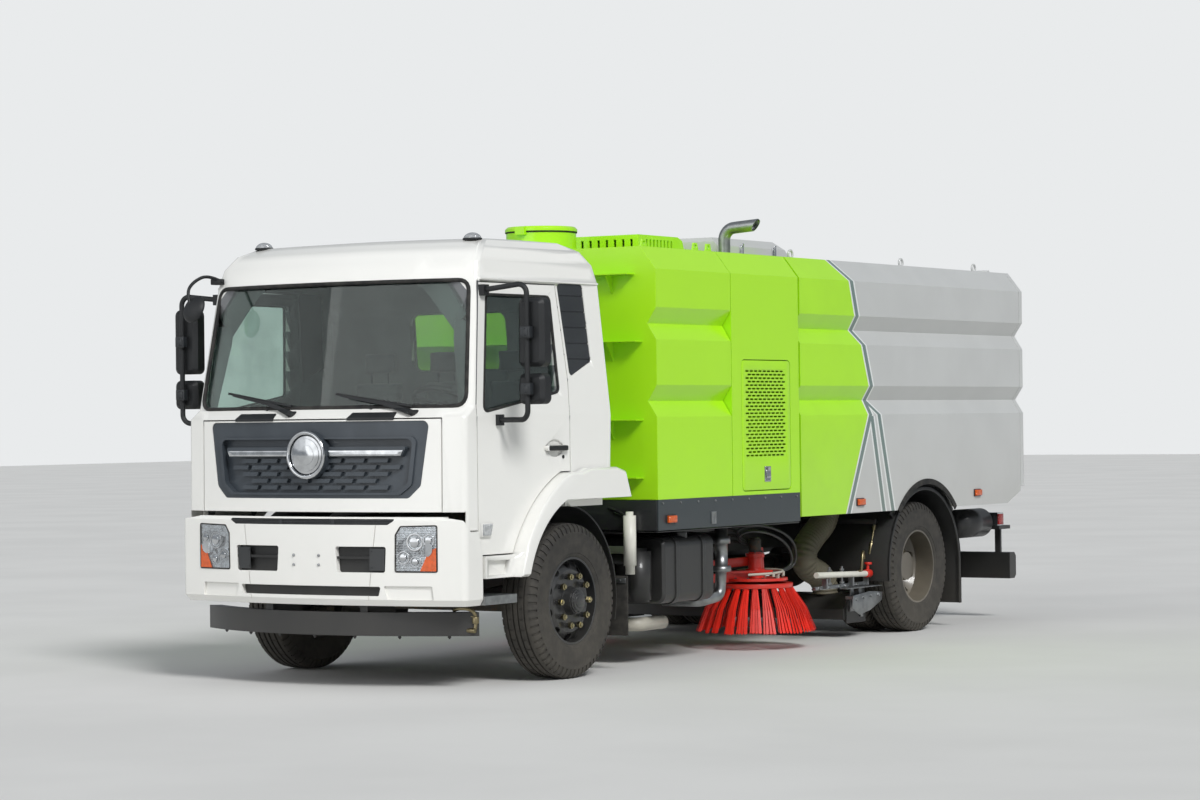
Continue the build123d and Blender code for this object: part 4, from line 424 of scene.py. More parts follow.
def start_ring(name, centre, radius, wire, rounds, sides, turn=(0, 0, 0)):
    """A smooth round ring of wire."""
    piece = primitive(name, "torus", major_segments=rounds, minor_segments=sides, major_radius=radius,
                      minor_radius=wire, location=centre, rotation=turn)
    settle(piece)
    smooth(piece)
    return piece


def cut_ball(name, centre, stretch, turn, segments, plane, normal, outer):
    """A ball stretched to three half sizes, turned, and cut by a plane."""
    piece = primitive(name, "uv_sphere", segments=segments, ring_count=segments // 2, radius=1.0, location=centre)
    piece.scale = stretch
    piece.rotation_euler = turn
    settle(piece)
    edit_whole(piece, lambda: bpy.ops.mesh.bisect(plane_co=plane, plane_no=normal, use_fill=True,
                                                  clear_outer=outer, clear_inner=not outer))
    return piece


def swept(name, points, radius, kind, fineness, **spline_settings):
    """A round tube along points, as a mesh."""
    clear_choice()
    curve = bpy.data.curves.new(name, "CURVE")
    curve.dimensions = "3D"
    spline = curve.splines.new(kind)
    spline.points.add(len(points) - 1)
    for point, place in zip(spline.points, points):
        point.co = (*place, 1.0)
    for setting, value in spline_settings.items():
        setattr(spline, setting, value)
    curve.bevel_depth = radius
    curve.bevel_resolution = fineness
    curve.use_fill_caps = not spline.use_cyclic_u
    link_piece(name, curve)
    bpy.ops.object.convert(target="MESH")
    return bpy.context.object


def start_tube(name, points, radius, sides=12):
    """A round tube that follows a few points on one smooth curve."""
    return swept(name, points, radius, "NURBS", max(1, sides // 4), order_u=3, use_endpoint_u=True, resolution_u=8)


def strip_along(name, points, radius, sides=2):
    """A closed seal or wire whose runs are straight between its points."""
    piece = swept(name, points, radius, "POLY", sides, use_cyclic_u=True)
    smooth(piece, 50)
    return piece


def choose_faces(piece, test, least_corners=3):
    """In edit mode, with only the faces chosen whose centre and normal pass the test."""
    choose(piece)
    to_edit_mode("FACE", "DESELECT")
    shape = bmesh.from_edit_mesh(piece.data)
    for face in shape.faces:
        if len(face.verts) >= least_corners and test(face.calc_center_median(), face.normal):
            face.select_set(True)
    bmesh.update_edit_mesh(piece.data)


def cut_faces(piece, test, least_corners=3):
    """Delete the faces that pass the test."""
    choose_faces(piece, test, least_corners)
    bpy.ops.mesh.delete(type="FACE")
    to_object_mode()


def inset(thickness):
    """Inset the chosen faces."""
    bpy.ops.mesh.inset(thickness=thickness, depth=0.0)


def extrude(offset):
    """Extrude the chosen faces along an offset."""
    bpy.ops.mesh.extrude_region_move(TRANSFORM_OT_translate={"value": offset})


def facing(side):
    """A test for faces that look towards a side, such as +z or -y."""
    sense, axis = 1.0 if side[0] == "+" else -1.0, "xyz".index(side[1])
    return lambda spot, normal: normal[axis] * sense > 0.9


def sink(piece, side, *steps):
    """Work the faces on one side step by step: a number insets them, an offset extrudes them."""
    choose_faces(piece, facing(side))
    for step in steps:
        if isinstance(step, tuple):
            extrude(step)
        else:
            inset(step)
    to_object_mode()


def taper(piece, side, size=(1, 1, 1), move=(0, 0, 0)):
    """Move and scale the faces on one side of a piece."""
    choose_faces(piece, facing(side))
    if any(move):
        bpy.ops.transform.translate(value=move)
    if tuple(size) != (1, 1, 1):
        bpy.ops.transform.resize(value=size)
    to_object_mode()


def soften(piece, width, segments=2, angle=40):
    """Round the sharp edges and apply it."""
    choose(piece)
    bevel = piece.modifiers.new("Edge", "BEVEL")
    bevel.width = width
    bevel.segments = segments
    bevel.limit_method = "ANGLE"
    bevel.angle_limit = math.radians(angle)
    bpy.ops.object.modifier_apply(modifier=bevel.name)
    smooth(piece, 35)


def copy_to(piece, move=(0, 0, 0), turn=None, about=(0, 0, 0), flip=None):
    """A copy with its own mesh, turned about a point and then moved; flip mirrors it across an axis."""
    made = piece.copy()
    made.data = piece.data.copy()
    bpy.context.collection.objects.link(made)
    matrix = Matrix.Translation(Vector(about) + Vector(move))
    if turn is not None:
        matrix = matrix @ turn.to_4x4()
    matrix = matrix @ Matrix.Translation(-Vector(about))
    made.data.transform(matrix)
    if flip is not None:
        scale = [1, 1, 1]
        scale["XYZ".index(flip)] = -1
        made.data.transform(Matrix.Diagonal((*scale, 1)))
        made.data.flip_normals()
    made.data.update()
    return made


def join(name, pieces):
    """One piece from several."""
    choose(*pieces)
    if len(pieces) > 1:
        bpy.ops.object.join()
    piece = bpy.context.object
    piece.name = name
    piece.data.name = name
    return piece


def dress(piece, body, material, replaced=()):
    """Give a finished piece its finish and the body it moves with."""
    piece.data.materials.clear()
    piece.data.materials.append(material)
    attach(piece, body)
    if replaced:
        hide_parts(*replaced)
    return piece


# Materials by their short names, filled by the finishes operator
FINISH = {}


def fit(name, pieces, body, finish, replaced=()):
    """Join pieces under a name and dress them."""
    return dress(join(name, pieces), body, FINISH[finish], replaced)


def on_side(name, pieces, side):
    """Join pieces made for the left side, as they are or mirrored to the right side."""
    pattern = join(name, pieces)
    if side > 0:
        return pattern
    made = copy_to(pattern, flip="X")
    remove([pattern])
    made.name = name
    return made


def fit_on_side(name, pieces, side, body, finish):
    """Join pieces made for the left side, bring them to their side and dress them."""
    return dress(on_side(name, pieces, side), body, FINISH[finish])


def both(*pieces):
    """Pieces and their mirror images across the vehicle."""
    return [*pieces, *(copy_to(piece, flip="X") for piece in pieces)]


def circle(radius, count, shift=0.0):
    """Places round a circle, the first one shifted by a share of a step."""
    angles = [2 * math.pi * (index + shift) / count for index in range(count)]
    return [(radius * math.cos(angle), radius * math.sin(angle)) for angle in angles]


def coat_node(name, material):
    """Put a finish on a CAD node."""
    node = NODES[name]
    node.data.materials.clear()
    node.data.materials.append(material)


# Sizes and colours that a user may change


class SweeperPaint(bpy.types.PropertyGroup):
    """Colours of the paint and the plain parts"""

    cab: FloatVectorProperty(name="Cab", description="Enamel of the cab", subtype="COLOR", size=3,
                             default=srgb("#ECEBE6")[:3], min=0, max=1)
    body: FloatVectorProperty(name="Body", description="Enamel of the tank, engine bay and front of the hopper",
                              subtype="COLOR", size=3, default=srgb("#ADEA17")[:3], min=0, max=1)
    rear: FloatVectorProperty(name="Rear", description="Enamel of the rear of the hopper", subtype="COLOR", size=3,
                              default=srgb("#C3C4C2")[:3], min=0, max=1)


class SweeperTyre(bpy.types.PropertyGroup):
    """Sizes of what meets the road: tyres and side brushes"""

    segments: IntProperty(name="Segments", description="Steps round the tyre, a multiple of three", default=180,
                          min=48, max=240)
    groove: FloatProperty(name="Groove depth", description="Depth of the grooves round the tyre", default=0.013,
                          min=0.004, max=0.02, unit="LENGTH")
    shoulder: FloatProperty(name="Shoulder notch", description="Depth of the notches in the shoulders",
                            default=0.007, min=0.002, max=0.02, unit="LENGTH")
    clumps: IntProperty(name="Brush clumps", description="Clumps of bristles round a side brush", default=24,
                        min=8, max=40)
    bristles: IntProperty(name="Bristles", description="Bristles across a clump", default=13, min=3, max=24)


class SweeperStage(bpy.types.PropertyGroup):
    """Camera and light"""

    lens: FloatProperty(name="Lens", description="Focal length on a 36 mm wide sensor", default=95.61, min=20,
                        max=300, unit="CAMERA")
    sun: FloatProperty(name="Light", description="Power of all the lights, 1 as in the photo", default=1.0, min=0,
                       max=20)


def as_hex(colour):
    """A linear colour as the sRGB hex value that the finishes take."""
    channels = [c * 12.92 if c <= 0.0031308 else 1.055 * c ** (1 / 2.4) - 0.055 for c in colour]
    return "#" + "".join(f"{round(255 * min(max(c, 0), 1)):02X}" for c in channels)


# Stage

# Camera: yaw, pitch and roll in radians, and its place
CAMERA_TURN = (0.5658, 0.0058, -0.0117)
CAMERA_PLACE = (12.518, -20.285, 1.702)
# Lights: name, kind, place, aim, angle or size, power
LIGHTS = (("Key", "SUN", (11, -7, 12), (0, 0, 1), 0.32, 2.35),
          ("Front", "SUN", (-3, -14, 6), (0, 0, 1), 0.9, 0.75),
          ("Fill", "AREA", (-12, -12, 8), (0, 0, 1.2), 10.0, 160))


class SWEEPER_OT_stage(bpy.types.Operator):
    """Camera at the photograph's angle, a plain pale floor and soft light"""

    bl_idname = "sweeper.stage"
    bl_label = "Stage"

    def execute(self, context):
        setup = context.scene.sweeper_stage
        yaw, pitch, roll = CAMERA_TURN
        ahead = Vector((-math.sin(yaw) * math.cos(pitch), math.cos(yaw) * math.cos(pitch), math.sin(pitch)))
        right = ahead.cross(Vector((0, 0, 1))).normalized()
        up = right.cross(ahead)
        right, up = (math.cos(roll) * right + math.sin(roll) * up, -math.sin(roll) * right + math.cos(roll) * up)
        camera_data = bpy.data.cameras.new("Camera")
        camera_data.lens = setup.lens
        camera_data.sensor_width = 36.0
        camera_data.clip_end = 200.0
        camera = bpy.data.objects.new("Camera", camera_data)
        context.collection.objects.link(camera)
        turned = Matrix((right, up, -ahead)).transposed().to_4x4()
        camera.matrix_world = Matrix.Translation(CAMERA_PLACE) @ turned
        context.scene.camera = camera

        floor = primitive("Floor", "plane", size=160.0, location=(0, 20, 0))
        material, tree, skin, place = begin_finish("Pale floor", Roughness=0.9)
        feed(skin, "Base Color", patches(tree, place, 2.0, 3.0, (0.3, 0.7), srgb("#D9D8D5"), srgb("#D3D2CF")))
        floor.data.materials.append(material)

        for name, kind, place_at, aim, size, power in LIGHTS:
            lamp = bpy.data.lights.new(name, kind)
            if kind == "SUN":
                lamp.angle = size
            else:
                lamp.size = size
            lamp.energy = power * setup.sun
            light = bpy.data.objects.new(name, lamp)
            context.collection.objects.link(light)
            light.location = place_at
            light.rotation_euler = (Vector(aim) - Vector(place_at)).to_track_quat("-Z", "Y").to_euler()
        world = bpy.data.worlds.new("Studio")
        world.use_nodes = True
        tree = world.node_tree
        tree.nodes.clear()
        rays = put(tree, "ShaderNodeLightPath").outputs
        seen = maths(tree, "MAXIMUM", rays["Is Camera Ray"], rays["Is Transmission Ray"])
        ambient = put(tree, "ShaderNodeBackground", {"Color": srgb("#DDE4EC"), "Strength": 0.42})
        shown = put(tree, "ShaderNodeBackground", {"Color": srgb("#E9EBEC"), "Strength": 1.0})
        mixed = put(tree, "ShaderNodeMixShader", {0: seen, 1: ambient.outputs[0], 2: shown.outputs[0]})
        put(tree, "ShaderNodeOutputWorld", {"Surface": mixed.outputs[0]})
        context.scene.world = world
        context.scene.view_settings.view_transform = "Standard"
        return {"FINISHED"}


# Finishes of the CAD's own pieces


class SWEEPER_OT_finishes(bpy.types.Operator):
    """The real materials of the truck, put on the CAD nodes"""

    bl_idname = "sweeper.finishes"
    bl_label = "Finishes"

    def execute(self, context):
        paint = context.scene.sweeper_paint
        body, rear = as_hex(paint.body), as_hex(paint.rear)
        FINISH.update({
            "cab": sprayed_enamel("Cab enamel", as_hex(paint.cab), 0.26, dust=0.12),
            "body": sprayed_enamel("Body enamel", body, 0.3, dust=0.1),
            "striped": striped_enamel("Striped enamel", body, rear, "#6E807C", "#E4E6E4"),
            "rear": sprayed_enamel("Rear enamel", rear, 0.3, dust=0.2),
            "chassis": sprayed_enamel("Chassis enamel", "#16181B", 0.48, dust=0.1),
            "skirt": sprayed_enamel("Skirt enamel", "#2A3337", 0.42, dust=0.12),
            "wheel": sprayed_enamel("Wheel enamel", "#1D2024", 0.34, dust=0.12),
            # Rear wheel dishes: the heavy lighter band low down is partly real road dust and partly painted light,
            # lighter below and darker at the top as the light falls
            "dish": sprayed_enamel("Wheel enamel with dust and painted light", "#34302B", 0.4, dust=0.75),
            "arm": sprayed_enamel("Arm enamel", "#D2200F", 0.35, dust=0.1),
            "plastic": moulded_plastic("Grained plastic", "#141618", dust=0.12),
            "trim": moulded_plastic("Smooth trim", "#26292C", 0.35, 0.0006, 0.00004, dust=0.15),
            "panel": moulded_plastic("Grille plastic", "#3A4046", 0.32, 0.0008, 0.00005, dust=0.1),
            "cabin": moulded_plastic("Cabin plastic", "#3C3E40", 0.6, dust=0.0),
            "steel": brushed_metal("Galvanised steel", "#A9ABAC", 0.38),
            "chrome": brushed_metal("Chromed steel", "#D6D8DA", 0.12),
            "cast": sand_cast("Cast iron", "#3B3B3A"),
            "tyre": vulcanised_rubber("Tyre rubber", "#1F1F20", dust=0.24),
            "rubber": vulcanised_rubber("Seal rubber", "#121314", dust=0.1),
            "glass": float_glass("Tinted glass", "#C9DAD3"),
            "lamp": lens_plastic("Clear lens", "#E6E9EC"),
            "cover": lens_plastic("Lamp cover", "#F3F6F8", 0.016, 0.95),
            "reflector": brushed_metal("Lamp reflector", "#DADDE0", 0.1),
            "clear": float_glass("Clear cover", "#F4F7F8", 0.95),
            "amber": lens_plastic("Amber lens", "#F2640A", 0.006, 0.2),
            "red": lens_plastic("Red lens", "#B5140F", 0.006, 0.25),
            "bristle": moulded_plastic("Bristles", "#E3220C", 0.45, 0.004, 0.0006, dust=0.06),
            "cloth": woven_cloth("Upholstery cloth", "#3A3C40"),
            "mirror": brushed_metal("Mirror silver", "#DFE3E6", 0.03),
            "brass": brushed_metal("Brass", "#9E9272", 0.36),
            "zinc": brushed_metal("Zinc plate", "#BDB28C", 0.28),
            "white": moulded_plastic("Milky plastic", "#DAD8CE", 0.4, 0.0009, 0.00004, dust=0.15),
            "pale": moulded_plastic("Pale pipe plastic", "#B4B0A4", 0.45, 0.001, 0.00004, dust=0.3),
            "hose": moulded_plastic("Suction hose", "#5E5A49", 0.6, 0.003, 0.0002, dust=0.2),
            "lining": woven_cloth("Cab lining", "#6A6C6E", 0.002),
        })
        coats = {
            "cab": ("cab_shell", "door_left", "door_right", "front_flap", "bumper"),
            "body": ("water_tank", "engine_bay", "engine_door_left", "engine_door_right", "roof_housings"),
            "striped": ("hopper",),
            "rear": ("tail_door", "fan_box"),
            "chassis": ("chassis_frame", "spray_bar", "underrun", "fuel_tank", "air_tanks", "leaf_springs",
                        "tip_barrels", "nozzle"),
            "skirt": ("side_skirts",),
            "wheel": ("wheel_front_left", "wheel_front_right"),
            "dish": ("wheel_rear_left", "wheel_rear_right"),
            "arm": ("brush_arm_left", "brush_arm_right"),
            "plastic": ("bumper_inserts", "front_mudguards", "rear_mudguards", "battery_box", "wipers",
                        "mirrors_left", "mirrors_right", "steering_wheel"),
            "trim": ("quarter_panels",),
            "panel": ("grille",),
            "steel": ("cab_steps", "exhaust", "tip_rods"),
            "cast": ("front_axle", "rear_axle", "knuckle_left", "knuckle_right", "drive_line", "sweep_engine"),
            "tyre": ("tyre_front_left", "tyre_front_right", "tyre_rear_left", "tyre_rear_right"),
            "rubber": ("suction_hose",),
            "glass": ("windscreen", "door_glass_left", "door_glass_right"),
            "reflector": ("lamps",),
            "bristle": ("brush_left", "brush_right"),
            "cloth": ("cab_interior",),
        }
        for finish, names in coats.items():
            for name in names:
                coat_node(name, FINISH[finish])
        return {"FINISHED"}


# Tyres

# Half of the tyre's outline from its middle: distance from the middle plane, radius
TYRE_HALF = ((0.000, 0.510), (0.012, 0.510), (0.014, 0.497), (0.024, 0.497), (0.026, 0.5098), (0.060, 0.5088),
             (0.062, 0.4965), (0.072, 0.4962), (0.074, 0.5080), (0.100, 0.5045), (0.113, 0.4970), (0.124, 0.4800),
             (0.1325, 0.4500), (0.1345, 0.4440), (0.1330, 0.4400), (0.1375, 0.4050), (0.1360, 0.3700),
             (0.1310, 0.3300), (0.1300, 0.3150), (0.1265, 0.3130), (0.1250, 0.3020), (0.1155, 0.2880))
GROOVE_FLOOR = 0.4965
CROWN_RADIUS = 0.5095
# Sipes in the ribs beside the middle: inset and depth
SIPE = 0.004


def road_tyre(name, centre, segments, groove, notch):
    """One tyre spun from its outline, with grooves round it, notched shoulders and sipes in its ribs."""
    half = [(x, r if abs(r - GROOVE_FLOOR) > 0.001 else CROWN_RADIUS - groove) for x, r in TYRE_HALF]
    outline = [(-x, r) for x, r in reversed(half)] + half[1:]
    piece = raw_piece(name, [(x, 0.0, r) for x, r in outline], [(i, i + 1) for i in range(len(outline) - 1)], [])
    edit_whole(piece,
               lambda: bpy.ops.mesh.spin(steps=segments, angle=2 * math.pi, center=(0, 0, 0), axis=(1, 0, 0)),
               lambda: bpy.ops.mesh.select_all(action="SELECT"),
               lambda: bpy.ops.mesh.remove_doubles(threshold=0.0002),
               outwards_normals)
    step = 2 * math.pi / segments

    def cut(low, high, least_radius, every, first, margin, depth):
        """Push in the faces of a part of the width, at some of the steps round the tyre."""
        def test(spot, normal):
            """Whether a face lies in that part, at such a step."""
            turn = int((math.atan2(spot.y, spot.z) + 4 * math.pi) / step)
            return low < abs(spot.x) < high and spot.yz.length > least_radius and turn % every == first

        choose_faces(piece, test)
        if margin:
            inset(margin)
        bpy.ops.mesh.extrude_region_shrink_fatten(TRANSFORM_OT_shrink_fatten={"value": -depth})
        to_object_mode()

    cut(0.105, 0.1335, 0.462, 3, 0, 0.0, notch)
    cut(0.026, 0.060, 0.505, 4, 1, SIPE, SIPE)
    piece.data.transform(Matrix.Translation(centre))
    smooth(piece, 32)
    return piece


class SWEEPER_OT_tyres(bpy.types.Operator):
    """Six tyres with grooved ribs and notched shoulders"""

    bl_idname = "sweeper.tyres"
    bl_label = "Tyres"

    def execute(self, context):
        setup = context.scene.sweeper_tyre
        for axle, axle_y, planes in (("front", FRONT_AXLE_Y, (OUTER_PLANE,)),
                                     ("rear", REAR_AXLE_Y, (OUTER_PLANE, INNER_PLANE))):
            for name, side in SIDES:
                tyres = [road_tyre("Tyre", (side * x, axle_y, AXLE_Z), setup.segments, setup.groove, setup.shoulder)
                         for x in planes]
                fit(f"Tread_{axle}_{name}", tyres, f"wheel_{axle}_{name}", "tyre", (f"tyre_{axle}_{name}",))
        return {"FINISHED"}


# Wheels' small pieces

# Stud circle of a wheel, and how far its nuts' seat is from the tyre's middle plane on each axle
STUD_CIRCLE = 0.167
STUDS = 10
NUT_SEATS = (("front", FRONT_AXLE_Y, 0.129), ("rear", REAR_AXLE_Y, -0.084))


def hex_nut(name, centre, outwards, radius, height):
    """A chamfered nut with its stud end, pointing along X."""
    nut = start_drum(name, centre, radius, height, "X", 6)
    choose_faces(nut, lambda spot, normal: normal.x * outwards > 0.9)
    inset(radius * 0.22)
    bpy.ops.transform.translate(value=(outwards * radius * 0.12, 0, 0))
    inset(radius * 0.12)
    extrude((outwards * height * 0.35, 0, 0))
    to_object_mode()
    return nut


class SWEEPER_OT_wheel_nuts(bpy.types.Operator):
    """Nuts on their stud circle on each wheel, and the front hub caps"""

    bl_idname = "sweeper.wheel_nuts"
    bl_label = "Wheel nuts"

    def execute(self, context):
        for axle, axle_y, seat in NUT_SEATS:
            for name, side in SIDES:
                centre = Vector((side * (OUTER_PLANE + seat + 0.004), axle_y, AXLE_Z))
                first = hex_nut("Nut", centre + Vector((0, STUD_CIRCLE, 0)), side, 0.0225, 0.020)
                turns = [Matrix.Rotation(2 * math.pi * index / STUDS, 3, "X") for index in range(1, STUDS)]
                nuts = [first, *(copy_to(first, turn=turn, about=centre) for turn in turns)]
                fit(f"Nuts_{axle}_{name}", nuts, f"wheel_{axle}_{name}", "zinc")
        for name, side in SIDES:
            hub = start_drum("Hub cap", (side * 1.194, FRONT_AXLE_Y, AXLE_Z), 0.078, 0.012, "X", 40)
            sink(hub, "+x" if side > 0 else "-x", 0.012, (side * 0.010, 0, 0), 0.020, (side * 0.006, 0, 0))
            soften(hub, 0.002)
            bolts = [hex_nut("Bolt", (side * 1.2, FRONT_AXLE_Y + a, AXLE_Z + b), side, 0.006, 0.006)
                     for a, b in circle(0.070, 8)]
            fit(f"Hub_cap_{name}", [hub, *bolts], f"wheel_front_{name}", "wheel")
        return {"FINISHED"}


# Brush bristles

BRUSH_PLACE = (0.860, 0.180)
DISC_Z = 0.445
# A strand: top, length, reach outwards of its slope, bow, and how far a clump opens and twists
STRAND_TOP = 0.452
STRAND_LENGTH = 0.330
STRAND_SLOPE = 0.166
STRAND_BOW = 0.022
CLUMP_OPENING = (0.034, 0.036)


class SWEEPER_OT_bristles(bpy.types.Operator):
    """Side brushes: a disc with clumps of flat plastic bristles that splay outwards"""

    bl_idname = "sweeper.bristles"
    bl_label = "Bristles"

    def execute(self, context):
        setup = context.scene.sweeper_tyre
        strand = start_box("Strand", (0.246, -0.0022, STRAND_TOP - STRAND_LENGTH), (0.2485, 0.0022, STRAND_TOP))
        taper(strand, "-z", (1, 1.3, 1))
        edit_whole(strand, lambda: bpy.ops.mesh.subdivide(number_cuts=1))
        # Each strand leaves the disc at a slope and bows out towards its tip
        for corner in strand.data.vertices:
            share = (STRAND_TOP - corner.co.z) / STRAND_LENGTH
            corner.co.x += STRAND_SLOPE * share + STRAND_BOW * math.sin(math.pi * share)
        strands = []
        for index in range(2 * setup.bristles):
            row, column = index % 2, index // 2
            fan = (column - (setup.bristles - 1) / 2) / setup.bristles
            made = copy_to(strand)
            stray = ((index * 37) % 11 - 5) / 5
            made.data.transform(Matrix.Translation((0.014 * row + 0.004 * stray, 0.0, 0.010 * abs(stray))))
            made.data.transform(Matrix.Rotation(math.radians(7.0 * fan + 0.5 * stray), 4, "Z"))
            # The clump opens like a fan and twists, one edge leading
            for corner in made.data.vertices:
                share = (STRAND_TOP - corner.co.z) / STRAND_LENGTH
                corner.co.x += CLUMP_OPENING[0] * fan * share
                corner.co.y += CLUMP_OPENING[1] * fan * share
            strands.append(made)
        remove([strand])
        clump = join("Clump", strands)
        clumps = [clump]
        for index in range(1, setup.clumps):
            made = copy_to(clump)
            wander = math.radians(1.1 * ((index * 5) % 7 - 3) / 3)
            tilt = Matrix.Rotation(math.radians(1.5 * ((index * 3) % 5 - 2) / 2), 4, "Y")
            lift = Matrix.Translation((0.25, 0, 0.45)) @ tilt @ Matrix.Translation((-0.25, 0, -0.45))
            made.data.transform(Matrix.Rotation(2 * math.pi * index / setup.clumps + wander, 4, "Z") @ lift)
            clumps.append(made)
        tines = join("Bristles", clumps)
        disc = start_drum("Disc", (0, 0, DISC_Z + 0.016), 0.278, 0.032, "Z", 64)
        sink(disc, "+z", 0.050, (0, 0, -0.010))
        soften(disc, 0.003)
        for name, side in SIDES:
            centre = (side * BRUSH_PLACE[0], BRUSH_PLACE[1], 0)
            fit(f"Bristles_{name}", [copy_to(tines, move=centre)], f"brush_{name}", "bristle")
            fit(f"Brush_disc_{name}", [copy_to(disc, move=centre)], f"brush_{name}", "arm",
                (f"brush_{name}",))
        remove([tines, disc])
        return {"FINISHED"}


# Surfaces of the cab and bumper

# Levels of the cab: height, front centre, half width at the front, half width at the rear, rear
CAB_LEVELS = ((0.850, -4.060, 1.115, 1.160, -2.300), (1.724, -4.052, 1.115, 1.160, -2.270),
              (1.785, -3.961, 1.112, 1.157, -2.274), (2.600, -3.820, 1.055, 1.115, -2.350),
              (2.720, -3.780, 1.035, 1.097, -2.390), (2.810, -3.690, 0.995, 1.057, -2.480),
              (2.865, -3.550, 0.920, 0.975, -2.620), (2.885, -3.300, 0.760, 0.800, -2.850))
FRONT_BOW = 0.150
BUMPER_FRONT = -4.098
BUMPER_HALF = 1.140
# Steps of the arc at each corner of an outline
ARC_STEPS = 5


def cab_level(height):
    """Front centre, half widths and rear of the cab at a height."""
    for low, high in zip(CAB_LEVELS, CAB_LEVELS[1:]):
        if height <= high[0]:
            share = min(max((height - low[0]) / (high[0] - low[0]), 0.0), 1.0)
            return [a + (b - a) * share for a, b in zip(low[1:], high[1:])]
    return list(CAB_LEVELS[-1][1:])


def cab_front(x, z):
    """Where the cab's bowed front is, at a place across it and a height."""
    front, half, _, _ = cab_level(z)
    return front + FRONT_BOW * (x / half) ** 2


def cab_flank(y, z):
    """How far out the cab's side is."""
    front, half_front, half_rear, rear = cab_level(z)
    share = (y - front - FRONT_BOW) / (rear - front - FRONT_BOW)
    return half_front + (half_rear - half_front) * min(max(share, 0.0), 1.0)


def bumper_front(x, z):
    """Where the bumper's bowed front is; it is upright, so the height makes no difference."""
    return BUMPER_FRONT + FRONT_BOW * (x / BUMPER_HALF) ** 2


def start_grid(name, columns, rows, place):
    """A sheet of cells; place turns a share across and a share up into a point."""
    piece = primitive(name, "grid", x_subdivisions=columns, y_subdivisions=rows, size=2.0)
    for corner in piece.data.vertices:
        corner.co = place((corner.co.x + 1) / 2, (corner.co.y + 1) / 2)
    return piece


def curved_plate(name, corners, thickness, steps, place):
    """A four-cornered plate laid on a surface; place turns a flat spot into a point of it."""
    a, b, c, d = (Vector(corner) for corner in corners)
    piece = start_grid(name, *steps, lambda u, v: place(*a.lerp(b, u).lerp(d.lerp(c, u), v)))
    thicken(piece, thickness)
    return piece


def bent_plate(name, corners, thickness, lift, surface, steps):
    """A plate on a curved front; corners are (x, z), from low left round to high left."""
    return curved_plate(name, corners, thickness, steps, lambda x, z: (x, surface(x, z) - lift, z))


def flank_plate(name, corners, thickness, lift, steps=(4, 4)):
    """A plate on the cab's left side; corners are (y, z)."""
    return curved_plate(name, corners, thickness, steps, lambda y, z: (cab_flank(y, z) + lift, y, z))


def thicken(piece, thickness, offset=-1.0):
    """Give a sheet its thickness: inwards from its face at -1, to both sides at 0, outwards at 1."""
    choose(piece)
    wall = piece.modifiers.new("Wall", "SOLIDIFY")
    wall.thickness = thickness
    wall.offset = offset
    bpy.ops.object.modifier_apply(modifier=wall.name)


def rounded_outline(corners, radius):
    """Points round an outline of flat corners, each corner turned into an arc."""
    points = []
    for index in range(len(corners)):
        here, before, after = (Vector(corners[i % len(corners)]) for i in (index, index - 1, index + 1))
        to_before, to_after = (before - here).normalized(), (after - here).normalized()
        half_angle = to_before.angle(to_after) / 2
        reach = min(radius / math.tan(half_angle), (before - here).length * 0.45, (after - here).length * 0.45)
        start, end = here + to_before * reach, here + to_after * reach
        for step in range(ARC_STEPS + 1):
            share = step / ARC_STEPS
            points.append(start.lerp(here, share).lerp(here.lerp(end, share), share))
    return points


def finely(points, longest=0.12):
    """The same points with more between them, so that a strip bends with the surface."""
    fine = []
    for index, point in enumerate(points):
        following = points[(index + 1) % len(points)]
        pieces = max(1, math.ceil((following - point).length / longest))
        fine += [point.lerp(following, step / pieces) for step in range(pieces)]
    return fine


# Outlines of the glass: windscreen (x, z), door window (y, z), rear window (x, z)
SCREEN = ((-1.066, 1.790), (-1.004, 2.592), (1.004, 2.592), (1.066, 1.790))
DOOR_WINDOW = ((-3.705, 1.750), (-3.590, 2.500), (-2.905, 2.500), (-2.860, 1.880))
REAR_WINDOW = ((-0.400, 2.040), (-0.400, 2.440), (0.400, 2.440), (0.400, 2.040))


class SWEEPER_OT_seals(bpy.types.Operator):
    """Rubber seals round the glass"""

    bl_idname = "sweeper.seals"
    bl_label = "Seals"

    def execute(self, context):
        ring = finely(rounded_outline(SCREEN, 0.080))
        screen_seal = strip_along("Screen seal", [(x, cab_front(x, z) + 0.001, z) for x, z in ring], 0.014)
        ring = rounded_outline(REAR_WINDOW, 0.060)
        rear_seal = strip_along("Rear seal", [(x, cab_level(z)[3] - 0.002, z) for x, z in ring], 0.011)
        fit("Screen_seals", [screen_seal, rear_seal], "chassis", "rubber")
        ring = finely(rounded_outline(DOOR_WINDOW, 0.040))
        for name, side in SIDES:
            seal = strip_along("Door seal", [(cab_flank(y, z) - 0.003, y, z) for y, z in ring], 0.010)
            fit_on_side(f"Window_seal_{name}", [seal], side, f"door_{name}", "rubber")
        return {"FINISHED"}


# Front of the cab

EMBLEM_Z = 1.490
# Grille bar: inner and outer end, low and high edge, and the slant of its ends
BAR_ENDS = (0.150, 0.690)
BAR_EDGES = (1.482, 1.518)
BAR_SLANT = 0.018
FRONT_MIRROR = (-1.005, -3.965, 2.452)


